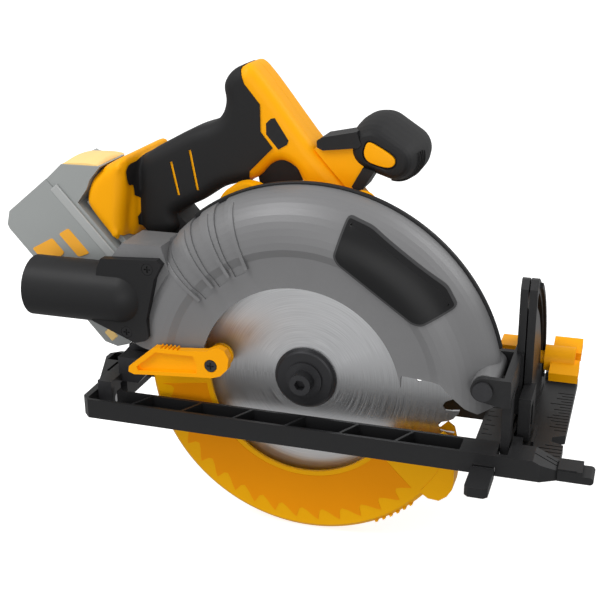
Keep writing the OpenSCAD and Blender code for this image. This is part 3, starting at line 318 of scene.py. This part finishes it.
def pillow(name, outline, y0, y1, round_r, material, rings=6):
    """Solid from a side outline (X and Z), between two Y planes, with rounded rims."""
    curve = bpy.data.curves.new(name, "CURVE")
    curve.dimensions = "2D"
    curve.fill_mode = "BOTH"
    spline = curve.splines.new("POLY")
    spline.points.add(len(outline) - 1)
    for point, place in zip(spline.points, outline):
        point.co = (place[0] * MM, place[1] * MM, 0, 1)
    spline.use_cyclic_u = True
    curve.extrude = (y1 - y0) / 2 * MM - round_r * MM
    curve.bevel_depth = round_r * MM
    curve.offset = -round_r * MM
    curve.bevel_resolution = rings
    holder = bpy.data.objects.new(name, curve)
    bpy.context.scene.collection.objects.link(holder)
    depsgraph = bpy.context.evaluated_depsgraph_get()
    mesh = bpy.data.meshes.new_from_object(holder.evaluated_get(depsgraph))
    bpy.data.objects.remove(holder)
    mesh.transform(Matrix.Translation((0, (y0 + y1) / 2 * MM, 0)) @ Matrix.Rotation(math.pi / 2, 4, "X"))
    obj = object_from(name, mesh, material)
    bm = bmesh.new()
    bm.from_mesh(mesh)
    bmesh.ops.remove_doubles(bm, verts=bm.verts, dist=1e-6)
    bmesh.ops.recalc_face_normals(bm, faces=bm.faces)
    bm.to_mesh(mesh)
    bm.free()
    return obj


def prism(name, outline, y0, y1, material):
    """Sharp-edged solid from a side outline (X and Z), between two Y planes."""
    bm = bmesh.new()
    near = [bm.verts.new((p[0] * MM, y0 * MM, p[1] * MM)) for p in outline]
    far = [bm.verts.new((p[0] * MM, y1 * MM, p[1] * MM)) for p in outline]
    bm.faces.new(near)
    bm.faces.new(list(reversed(far)))
    for i in range(len(outline)):
        k = (i + 1) % len(outline)
        bm.faces.new((near[k], near[i], far[i], far[k]))
    bmesh.ops.recalc_face_normals(bm, faces=bm.faces)
    mesh = bpy.data.meshes.new(name)
    bm.to_mesh(mesh)
    bm.free()
    return object_from(name, mesh, material)


def block(name, low, high, material):
    """Box between two corners in millimetres."""
    outline = [(low[0], low[2]), (high[0], low[2]), (high[0], high[2]), (low[0], high[2])]
    return prism(name, outline, low[1], high[1], material)


def drum(name, x, z, y0, y1, r, material, count):
    """Cylinder along Y."""
    return prism(name, disc_points(x, z, r, count), y0, y1, material)


def copy_of(node, name):
    """A free copy of a CAD node's mesh as an object in the world frame."""
    source = NODES[node]
    mesh = source.data.copy()
    mesh.transform(source.matrix_world)
    return object_from(name, mesh, SLOT_MATERIAL[SLOT_OF[node]])


def join(name, *objs):
    """One object from several."""
    bm = bmesh.new()
    for obj in objs:
        bm.from_mesh(obj.data)
    mesh = bpy.data.meshes.new(name)
    bm.to_mesh(mesh)
    bm.free()
    material = objs[0].data.materials[0]
    for obj in objs:
        bpy.data.objects.remove(obj)
    return object_from(name, mesh, material)


def fuse(name, voxel, rounds, *objs):
    """Blends overlapping solids into one smooth skin."""
    obj = join(name, *objs)
    remesh = obj.modifiers.new("skin", "REMESH")
    remesh.mode = "VOXEL"
    remesh.voxel_size = voxel * MM
    smooth = obj.modifiers.new("smooth", "SMOOTH")
    smooth.factor = 0.5
    smooth.iterations = rounds
    return settle(obj)


def cut(obj, *tools, how="DIFFERENCE"):
    """Boolean of obj with each tool, which is used up."""
    for tool in tools:
        modifier = obj.modifiers.new("cut", "BOOLEAN")
        modifier.operation = how
        modifier.solver = "EXACT"
        modifier.object = tool
        settle(obj)
        bpy.data.objects.remove(tool)
    return obj


def bevel(obj, width, segments=2, angle=30):
    """Rounds edges sharper than an angle by a width in millimetres."""
    modifier = obj.modifiers.new("bevel", "BEVEL")
    modifier.width = width * MM
    modifier.segments = segments
    modifier.limit_method = "ANGLE"
    modifier.angle_limit = math.radians(angle)
    modifier.harden_normals = False
    return obj


def soften(obj, angle=35):
    """Smooth shading up to an angle between faces."""
    obj.data.shade_smooth()
    obj.data.set_sharp_from_angle(angle=math.radians(angle))
    return obj


def piece(obj, body, slot, *nodes):
    """Hands a finished object to the frame."""
    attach(obj, body)
    if nodes:
        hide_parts(*nodes)
    return obj


def in_pack(obj):
    """Moves an object from the battery's own frame to the saw's."""
    turn = Matrix.Rotation(PACK_TILT, 4, "Y")
    obj.data.transform(Matrix.Translation(PACK_AT * MM + Vector((0, PACK_Y0 * MM, 0))) @ turn)
    return obj


# ------------------------------------------------------------------ CAD nodes kept as they are

# width in millimetres of the rounded edges of each kind of moulding
EDGE = {
    "plastic_black": 0.7, "plastic_yellow": 0.8, "guard_grey": 0.9, "base_black": 0.5, "pack_grey": 1.2,
    "pack_pale": 1.0, "guard_orange": 0.5, "rubber_black": 0.8,
}
EDGE_SEGMENTS = 2
EDGE_ANGLE = 32


def dress_cad_nodes():
    """Materials on every carried-over node, and small rounded edges where a moulding has them."""
    for node, slot in SLOT_OF.items():
        obj = NODES[node]
        obj.data.materials.clear()
        obj.data.materials.append(NODE_MATERIAL.get(node, SLOT_MATERIAL[slot]))
        if slot in EDGE:
            bevel(obj, EDGE[slot], EDGE_SEGMENTS, EDGE_ANGLE)


# ------------------------------------------------------------------ handle

# stretches of the handle's side outline, X and Z, run clockwise from the grip's top
GRIP_TOP = [(-120, 143), (-113, 149.5), (-97, 158.5), (-84, 165), (-71, 169.5), (-64, 175), (-61, 184),
            (-62, 193), (-58, 200), (-51, 204)]
COLUMN_FRONT = [(-42, 203.5), (-12, 165.5), (0, 151.5), (14, 136), (27, 120), (30, 104), (24, 74)]
COLUMN_REAR = [(-8, 80), (-10, 100), (-11, 120), (-13, 134), (-18, 145), (-26, 149.5), (-34, 147)]
GRIP_UNDER = [(-43, 138), (-56, 134.5), (-66, 131), (-79, 122.5), (-90, 117), (-97, 112), (-95, 104),
              (-101, 98.5)]
GRIP_REAR = [(-110, 97.5), (-117, 98), (-122, 106), (-122, 134)]
FOOT = [(-121, 149), (-131, 146), (-139, 140.5), (-145, 134), (-148, 126), (-147.5, 117), (-131, 97),
        (-126, 98), (-124.5, 112), (-122, 130)]
NECK = [(-121.5, 148), (-130, 143.5), (-141, 130), (-131, 98), (-123, 97.5), (-121.5, 112), (-120.5, 134)]
FOOT_HALF_W = 35.5
NECK_HALF_W = 25

# stretches of the overmould's side outline, run past the silhouette where the rubber wraps round
RUBBER_TOP = [(-118, 152), (-113, 158), (-97, 168), (-84, 174), (-74, 178), (-72, 195), (-62, 210),
              (-52, 212)]
RUBBER_FRONT = [(-51, 203), (-48, 195), (-38.5, 183.5), (-38.5, 167.5), (-31, 158), (-46, 143), (-49, 130)]
RUBBER_UNDER = [(-64, 122), (-78, 114), (-84, 106), (-90, 98), (-99, 97.5), (-115, 98.5)]
RUBBER_REAR = [(-121, 104), (-121, 109.5), (-119.7, 112), (-119.4, 121), (-121.1, 124), (-120.7, 141)]
RUBBER_PROUD = 0.9

TRIGGER_POCKET = [(-44, 128), (-13, 120), (-13, 150), (-20, 156), (-46, 156)]
TRIGGER_POCKET_HALF_W = 10
BUTTON_AT = (-52, 158)
BUTTON_BORE_R = 4.6
# top and foot of each slit in the rubber, where the yellow shows
SLITS = (((-97, 145.5), (-92.8, 125)), ((-84.2, 153.5), (-80, 129)))
SLIT_HALF_W = 0.9
SLIT_DEPTH = 8
# outline of the latch hood in the pack's own side plane, with room past it
HOOD_EDGE = [(-60, 47), (21.8, 47), (19.8, 59.4), (17, 65.2), (15.6, 84), (-60, 84)]
PARTING_GAP = 0.12


def handle_body():
    """Grip, horn, column and foot blended into one moulding."""
    outline = smooth_loop(GRIP_TOP + COLUMN_FRONT + COLUMN_REAR + GRIP_UNDER + GRIP_REAR, 4)
    grip = pillow("grip", outline, HANDLE_Y - GRIP_W / 2, HANDLE_Y + GRIP_W / 2, 7.5, YELLOW)
    foot, neck = smooth_loop(FOOT, 4), smooth_loop(NECK, 4)
    wide = pillow("wide", foot, HANDLE_Y - FOOT_HALF_W, HANDLE_Y + FOOT_HALF_W, 7, YELLOW)
    middle = pillow("middle", neck, HANDLE_Y - NECK_HALF_W, HANDLE_Y + NECK_HALF_W, 8, YELLOW)
    return fuse("handle", 1.3, 9, grip, wide, middle)


def rubber_over(body):
    """Rubber skin that stands proud of the moulding within the overmould's outline."""
    skin = object_from("rubber_skin", body.data.copy(), RUBBER)
    grow = skin.modifiers.new("grow", "DISPLACE")
    grow.strength = RUBBER_PROUD * MM
    grow.mid_level = 0.0
    settle(skin)
    region = RUBBER_TOP + RUBBER_FRONT + RUBBER_UNDER + RUBBER_REAR
    return cut(skin, prism("region", region, 20, 84, RUBBER), how="INTERSECT")


def pack_rooms():
    """Solids that keep the handle clear of the pack: its body, its rails, its shoulder and its hood."""
    past = 60
    side = 5
    boxes = (
        ((-past, -side, -20), (PACK_LEN + past, PACK_W + side, PACK_T + 0.7)),
        ((-past, 4, PACK_T), (PACK_LEN + past, PACK_W - 4, PACK_T + 6.6)),
        ((-past, -side, PACK_T), (20, PACK_W + side, PACK_T + 11)),
    )
    rooms = [in_pack(block(f"room{i}", low, high, YELLOW)) for i, (low, high) in enumerate(boxes)]
    rooms.append(in_pack(prism("hood_room", HOOD_EDGE, -side, 47, YELLOW)))
    return rooms


def cut_slits(skin):
    """Two slits on each side of the grip."""
    w = SLIT_HALF_W
    for top, foot in SLITS:
        slit = [(top[0] - w, top[1]), (top[0] + w, top[1] + 0.6), (foot[0] + w, foot[1]),
                (foot[0] - w, foot[1])]
        for y in (HANDLE_Y - 20, HANDLE_Y + 12):
            cut(skin, prism("slit", slit, y, y + SLIT_DEPTH, RUBBER))


def build_handle():
    """Two yellow halves that meet at the handle's middle plane, and the rubber over them."""
    body = handle_body()
    skin = rubber_over(body)
    cut(body, prism("trigger_pocket", TRIGGER_POCKET, HANDLE_Y - TRIGGER_POCKET_HALF_W,
                    HANDLE_Y + TRIGGER_POCKET_HALF_W, YELLOW))
    rooms = pack_rooms()
    for thing in (body, skin):
        cut(thing, drum("motor", MOTOR.x, MOTOR.y, 30, 100, MOTOR_ROOM_R, YELLOW, 96),
            drum("button", *BUTTON_AT, HANDLE_Y, 80, BUTTON_BORE_R, YELLOW, 32))
    cut(body, *rooms)
    cut_slits(skin)
    for name, side in (("handle_right", -1), ("handle_left", 1)):
        half = object_from(f"{name}_skin", body.data.copy(), YELLOW)
        slab = block("slab", (-250, HANDLE_Y + (PARTING_GAP if side > 0 else -80), 0),
                     (100, HANDLE_Y + (80 if side > 0 else -PARTING_GAP), 260), YELLOW)
        cut(half, slab, how="INTERSECT")
        piece(soften(half, 50), "saw", "plastic_yellow", name)
    bpy.data.objects.remove(body)
    piece(soften(skin, 50), "saw", "rubber_black", "rubber_grip")


# ------------------------------------------------------------------ front knob

KNOB_REAR = Vector((28.0, 160.0))
KNOB_FRONT = Vector((41.5, 153.5))
# along Y: the place, and the radii of the circles about the knob's rear and front axes
KNOB_STATIONS = [(35, 6.5, 5.6), (35.3, 8.6, 7.4), (36.6, 10.4, 8.8), (39, 12, 10.2), (43, 13.6, 11.6),
                 (50, 15.2, 13.2), (58, 16.3, 14.2), (66, 16.8, 14.6), (74, 16.6, 14.4), (82, 15.2, 13.2),
                 (87, 13.4, 11.6), (91, 10.6, 9), (93, 7.2, 6), (93.6, 4, 3.2)]
INSERT_SEAT = [(26.6, 165.6), (34, 163), (43, 157.6), (43.6, 152), (39, 149.6), (31, 151), (25.6, 153.4),
               (23.6, 158.5)]
INSERT_FACE = [(27, 164.6), (34, 162), (42, 156.8), (42.6, 152.6), (38.6, 150.6), (31, 152), (26.4, 154.2),
               (24.6, 158.7)]


def ring_about(ra, rb, y, count=72):
    """Closed ring about the knob's two circles, at a Y plane, in millimetres."""
    ring = []
    for i in range(count):
        turn = 2 * math.pi * i / count
        ray = Vector((math.cos(turn), math.sin(turn)))
        pa, pb = KNOB_REAR + ray * ra, KNOB_FRONT + ray * rb
        ring.append(pa if pa.dot(ray) > pb.dot(ray) else pb)
    return [Vector((p.x, y, p.y)) for p in ring]


def skin_rings(name, rings, material):
    """Closed skin through rings of equal count, capped at both ends."""
    bm = bmesh.new()
    rows = [[bm.verts.new(p * MM) for p in ring] for ring in rings]
    for one, two in zip(rows, rows[1:]):
        for i in range(len(one)):
            k = (i + 1) % len(one)
            bm.faces.new((one[i], one[k], two[k], two[i]))
    bm.faces.new(list(reversed(rows[0])))
    bm.faces.new(rows[-1])
    bmesh.ops.recalc_face_normals(bm, faces=bm.faces)
    mesh = bpy.data.meshes.new(name)
    bm.to_mesh(mesh)
    bm.free()
    return object_from(name, mesh, material)


def build_knob():
    """Rubber knob about its frame, with a yellow insert in its near end."""
    rings = []
    fine = 5
    for (y0, a0, b0), (y1, a1, b1) in zip(KNOB_STATIONS, KNOB_STATIONS[1:]):
        for s in range(fine):
            t = s / fine
            rings.append(ring_about(a0 + (a1 - a0) * t, b0 + (b1 - b0) * t, y0 + (y1 - y0) * t))
    y, a, b = KNOB_STATIONS[-1]
    rings.append(ring_about(a, b, y))
    knob = skin_rings("knob_skin", rings, RUBBER)
    frame_copy = copy_of("knob_frame", "knob_frame_tool")
    cut(knob, frame_copy)
    cut(knob, prism("insert_seat", smooth_loop(INSERT_SEAT, 5), 30, 37, RUBBER))
    piece(soften(knob, 40), "saw", "rubber_black", "knob_grip")
    plate = pillow("knob_insert_skin", smooth_loop(INSERT_FACE, 5), 34.6, 37.0, 0.6, YELLOW, 3)
    piece(soften(plate, 40), "saw", "plastic_yellow", "knob_insert")


# ------------------------------------------------------------------ upper guard

# the guard's crown is a quarter of an ellipse, swept about the blade's shaft
CROWN_R, CROWN_SPREAD = 84.0, 31.0
CROWN_BACK, CROWN_DEPTH = 8.0, 26.0
DRAPE_CELL = 2.5
PLATE_BACK, PLATE_FRONT, PLATE_MIDDLE = -20, -60, -40

BADGE = [(28, 134.5), (21.6, 112), (24, 107.6), (66.8, 77), (72.4, 76.4), (90.6, 87.6), (84.2, 98.5),
         (42, 129)]
BADGE_CORNER_R = 3.2
VENT_RIB_ANGLES = (131.4, 121.9, 112.6, 140.6)
VENT_RIB_HALF_ANGLE = 0.75


def on_ring(r, degrees):
    """X and Z at a radius and an angle about the blade's shaft."""
    turn = math.radians(degrees)
    return (ARBOR.x + r * math.cos(turn), ARBOR.y + r * math.sin(turn))


def crown_y(x, z, proud):
    """Y of the guard's outer skin at a side place, stood off by proud millimetres."""
    r = math.hypot(x - ARBOR.x, z - ARBOR.y) - CROWN_R
    lean = min(1.0, max(0.0, r / CROWN_SPREAD))
    return CROWN_BACK - CROWN_DEPTH * math.sqrt(1.0 - lean * lean) - proud


def draped(name, outline, proud, material, depth=2.0):
    """Plate with a given side outline that follows the guard's skin."""
    plate = prism(name, outline, PLATE_FRONT, PLATE_BACK, material)
    bm = bmesh.new()
    bm.from_mesh(plate.data)
    low = min(p[0] for p in outline)
    high = max(p[0] for p in outline)
    base = min(p[1] for p in outline)
    top = max(p[1] for p in outline)
    for axis, start, end in (("x", low, high), ("z", base, top)):
        count = int((end - start) / DRAPE_CELL)
        normal = (1, 0, 0) if axis == "x" else (0, 0, 1)
        for i in range(1, count):
            place = (start + (end - start) * i / count) * MM
            geometry = bm.verts[:] + bm.edges[:] + bm.faces[:]
            bmesh.ops.bisect_plane(bm, geom=geometry, plane_co=Vector(normal) * place, plane_no=normal,
                                   dist=1e-7)
    for vert in bm.verts:
        skin = crown_y(vert.co.x / MM, vert.co.z / MM, proud)
        vert.co.y = (skin if vert.co.y < PLATE_MIDDLE * MM else skin + depth) * MM
    bmesh.ops.recalc_face_normals(bm, faces=bm.faces)
    bm.to_mesh(plate.data)
    bm.free()
    return plate


def rounded(points, r, steps=5):
    """Polygon in millimetres with each corner rounded off."""
    result = []
    count = len(points)
    for i in range(count):
        before, corner, after = (Vector(points[(i + k) % count]) for k in (-1, 0, 1))
        one, two = before - corner, after - corner
        reach = min(r, one.length / 2.2, two.length / 2.2)
        start, end = corner + one.normalized() * reach, corner + two.normalized() * reach
        for s in range(steps + 1):
            t = s / steps
            result.append((1 - t) ** 2 * start + 2 * t * (1 - t) * corner + t * t * end)
    return result


def inset(points, width):
    """Polygon moved inwards by a width; the points run the same way round."""
    centre = sum((Vector(p) for p in points), Vector((0, 0))) / len(points)
    moved = []
    count = len(points)
    for i in range(count):
        before, here, after = (Vector(points[(i + k) % count]) for k in (-1, 0, 1))
        along = (after - before).normalized()
        normal = Vector((-along.y, along.x))
        if normal.dot(centre - here) < 0:
            normal = -normal
        moved.append(here + normal * width)
    return moved


def build_badge():
    """Plain black panel on the guard, with a thin moulded rim and a plain raised field."""
    outline = rounded(BADGE, BADGE_CORNER_R)
    rim = draped("badge_rim", outline, 0.7, RIM_GREY)
    panel = draped("badge_panel_skin", inset(outline, 1.3), 1.1, GLOSS)
    field = draped("badge_field", inset(outline, 4.0), 1.35, GLOSS)
    for thing in (panel, rim, field):
        soften(thing, 40)
    piece(rim, "saw", "guard_grey")
    piece(panel, "saw", "label_black", "badge_panel")
    piece(field, "saw", "label_black")


def sector(name, r0, r1, y0, y1, a0, a1, material, count):
    """Part of a ring about the blade's shaft."""
    angles = [a0 + (a1 - a0) * i / count for i in range(count + 1)]
    outline = [on_ring(r1, a) for a in angles] + [on_ring(r0, a) for a in reversed(angles)]
    return prism(name, outline, y0, y1, material)


def build_crown_band():
    """Black band behind the top of the guard's crown, put where the crown's far edge lies in shade: painted
    shade.
    """
    band = sector("crown_shade_band", 111.5, 116.6, 8.1, 11.5, 14, 128, BLACK, 64)
    piece(soften(bevel(band, 0.8, 3), 35), "saw", "plastic_black")


def build_vents():
    """Raised edges between the channels moulded in the rear of the crown."""
    inner, bend, outer = 76, 95, 112.6
    for i, angle in enumerate(VENT_RIB_ANGLES):
        low, high = angle - VENT_RIB_HALF_ANGLE, angle + VENT_RIB_HALF_ANGLE
        outline = [on_ring(inner, low), on_ring(inner, high), on_ring(bend, high), on_ring(outer, high),
                   on_ring(outer, low), on_ring(bend, low)]
        rib = draped(f"vent_rib_{i}", outline, 1.1, GREY)
        piece(soften(bevel(rib, 0.4, 2), 40), "saw", "guard_grey")


# ------------------------------------------------------------------ battery, lower guard and knob details

BAND_LOW, BAND_HIGH = PACK_T - 8.2, PACK_T - 2.2
LABELS = (
    ("pack_label_low", [(22, 1), (26, 17.5), (38, 17.5), (38, 1)]),
    ("pack_label_high", [(27, 23.4), (28.6, 31.4), (49, 31.4), (46, 23.4)]),
)
HOOD_Y, HOOD_WIDTH, HOOD_RISE = 17.5, 36, 3.4
HOOD_STEPS = 8

# one tooth of the blade's shade on the lower guard: radius, and degrees from the tooth's start
SHADE_TOOTH = ((91.2, 0.0), (85.5, 0.9), (84.0, 2.2), (85.8, 4.4), (89.4, 7.2))
SHADE_PITCH, SHADE_TEETH, SHADE_START = 8.8, 15, 188.0
SHADE_INNER_R = 61.5
SHADE_FRONT, SHADE_BACK = -8.25, -7.9

KNOB_RIBS = 4
KNOB_RIB_Y, KNOB_RIB_PITCH, KNOB_RIB_R = 47.5, 3.2, 0.45


def build_battery_details():
    """Step band and plain label patches on the pack's near side, and a pale patch at its foot."""
    band = in_pack(block("pack_band", (4, -0.6, BAND_LOW), (PACK_LEN - 4, 1, BAND_HIGH), PACK_LIGHT))
    piece(soften(bevel(band, 0.5, 2)), "battery", "pack_grey")
    for name, outline in LABELS:
        label = in_pack(prism(name, rounded(outline, 1.5, 4), -0.35, 0.5, AMBER))
        piece(soften(label, 40), "battery", "pack_pale")
    foot = in_pack(block("pack_foot_patch", (PACK_LEN - 16, -0.4, 0.8), (PACK_LEN - 8, 5, 7.2), PALE))
    piece(soften(bevel(foot, 0.8, 2)), "battery", "pack_pale")


def build_latch_hood():
    """Domed pale hood over the top of the pack."""
    rings = []
    for step in range(HOOD_STEPS + 1):
        y = HOOD_Y + HOOD_WIDTH * step / HOOD_STEPS
        rise = HOOD_RISE * math.sin(math.pi * (0.12 + 0.76 * step / HOOD_STEPS))
        outline = [(-163.5, 143.6), (-161, 143.9 + rise * 0.8), (-146, 144.3 + rise),
                   (-139.2, 144 + rise * 0.7), (-137.5, 143.6)]
        rings.append([Vector((x, y, z)) for x, z in rounded(outline, 2.5, 4)])
    hood = skin_rings("pack_hood", rings, PALE)
    piece(soften(hood, 50), "battery", "pack_pale", "battery_button")


def build_guard_shade():
    """Painted shade on the lower guard's wall: a darker field with a saw-tooth edge, where the blade lies
    behind it.
    """
    edge = []
    for i in range(SHADE_TEETH):
        start = SHADE_START + i * SHADE_PITCH
        edge += [on_ring(r, start + turn) for r, turn in SHADE_TOOTH]
    stop = SHADE_START + SHADE_TEETH * SHADE_PITCH
    fine = 40
    inner = [on_ring(SHADE_INNER_R, stop - (stop - SHADE_START) * i / fine) for i in range(fine + 1)]
    field = prism("guard_blade_shade", edge + inner, SHADE_FRONT, SHADE_BACK, PAINTED_BLADE_SHADE)
    piece(soften(field), "swing_guard", "guard_orange")


def bead(name, places, radius):
    """Mesh of a thin round bead along places in millimetres."""
    curve = bpy.data.curves.new(name, "CURVE")
    curve.dimensions = "3D"
    spline = curve.splines.new("POLY")
    spline.points.add(len(places) - 1)
    for point, place in zip(spline.points, places):
        point.co = (place.x * MM, place.y * MM, place.z * MM, 1)
    curve.bevel_depth = radius * MM
    curve.bevel_resolution = 2
    holder = bpy.data.objects.new(name, curve)
    bpy.context.scene.collection.objects.link(holder)
    mesh = bpy.data.meshes.new_from_object(holder.evaluated_get(bpy.context.evaluated_depsgraph_get()))
    bpy.data.objects.remove(holder)
    return mesh


def build_knob_grooves():
    """Fine grip lines round the lower front of the knob."""
    for i in range(KNOB_RIBS):
        ring = ring_about(15.35 + 0.3 * i, 13.35 + 0.3 * i, KNOB_RIB_Y + i * KNOB_RIB_PITCH, 96)
        arc = [p for p in ring if p.x > 34 and p.z < 158]
        arc.sort(key=lambda p: math.atan2(p.z - 156, p.x - 36))
        rib = object_from(f"knob_rib_{i}", bead("groove", arc, KNOB_RIB_R), RUBBER)
        piece(soften(rib, 60), "saw", "rubber_black")


# ------------------------------------------------------------------ stage, light, camera

FLOOR_SIZE = 8.0
FLOOR_GAP = 0.001
# each soft light: where it stands, what it faces, its width and height in metres, and its power in watts
LIGHTS = {
    "key": ((-0.6, -0.6, 1.2), (0, 0, 0.05), (0.6, 0.6), 9),
    "fill": ((0.3, -1.6, 0.25), (0, 0, 0.05), (1.2, 0.8), 7),
    "rim": ((0.9, 0.5, 0.9), (0, 0, 0.1), (0.6, 0.9), 6),
}
EYE = Vector((0.1865, -0.5752, 0.3004))
AZIMUTH, ELEVATION, ROLL = (math.radians(angle) for angle in (18.28, 20.186, -0.586))
LENS = 66.78


def area_light(name, place, aim, size, power):
    """A rectangular light that faces a point."""
    data = bpy.data.lights.new(name, "AREA")
    data.shape = "RECTANGLE"
    data.size, data.size_y = size
    data.energy = power
    obj = bpy.data.objects.new(name, data)
    obj.location = place
    obj.rotation_euler = (Vector(aim) - Vector(place)).to_track_quat("-Z", "Y").to_euler()
    bpy.context.scene.collection.objects.link(obj)
    return obj


def build_world():
    """Soft room light that is strongest overhead."""
    world = bpy.data.worlds.new("studio")
    world.use_nodes = True
    tree = world.node_tree
    coords = tree.nodes.new("ShaderNodeTexCoord")
    split = tree.nodes.new("ShaderNodeSeparateXYZ")
    tree.links.new(coords.outputs["Generated"], split.inputs["Vector"])
    strength = map_range(tree, split.outputs["Z"], 0.4, 0.75, -0.7, 0.9)
    background = tree.nodes["Background"]
    background.inputs["Color"].default_value = (1, 1, 1, 1)
    tree.links.new(strength, background.inputs["Strength"])
    bpy.context.scene.world = world


def build_stage():
    """Pale paper floor under the saw, soft room light and three lamps."""
    bpy.ops.mesh.primitive_plane_add(size=FLOOR_SIZE, location=(0, 0, cad_box[0][2] - FLOOR_GAP))
    floor = bpy.context.active_object
    floor.name = "floor"
    paper = grain_material("floor_paper", (0.6, 0.6, 0.6, 1), 0.9, strength=0.0, mottle=0.0, specular=0.0)
    glow = {"Emission Color": (1, 1, 1, 1), "Emission Strength": 0.75}
    set_inputs(paper.node_tree.nodes["Principled BSDF"], glow)
    floor.data.materials.append(paper)
    # the bright paper is seen, and it doesn't light the saw from below
    floor.visible_diffuse = False
    floor.visible_glossy = False
    build_world()
    for name, (place, aim, size, power) in LIGHTS.items():
        area_light(name, place, aim, size, power)


def build_camera():
    """Camera at the angle of the reference view: from the right front and a little above."""
    ca, sa, ce, se = math.cos(AZIMUTH), math.sin(AZIMUTH), math.cos(ELEVATION), math.sin(ELEVATION)
    back = Vector((sa * ce, -ca * ce, se))
    right = Vector((ca, sa, 0))
    up = Vector((-sa * se, ca * se, ce))
    across = math.cos(ROLL) * right + math.sin(ROLL) * up
    upward = -math.sin(ROLL) * right + math.cos(ROLL) * up
    data = bpy.data.cameras.new("camera")
    data.sensor_width = 36.0
    data.lens = LENS
    data.clip_start = 0.01
    camera = bpy.data.objects.new("camera", data)
    camera.matrix_world = Matrix((
        (across.x, upward.x, back.x, EYE.x), (across.y, upward.y, back.y, EYE.y),
        (across.z, upward.z, back.z, EYE.z), (0, 0, 0, 1)))
    bpy.context.scene.collection.objects.link(camera)
    bpy.context.scene.camera = camera
    bpy.context.scene.view_settings.view_transform = "Standard"


dress_cad_nodes()
build_handle()
build_knob()
build_badge()
build_crown_band()
build_vents()
build_battery_details()
build_latch_hood()
build_guard_shade()
build_knob_grooves()
build_stage()
build_camera()
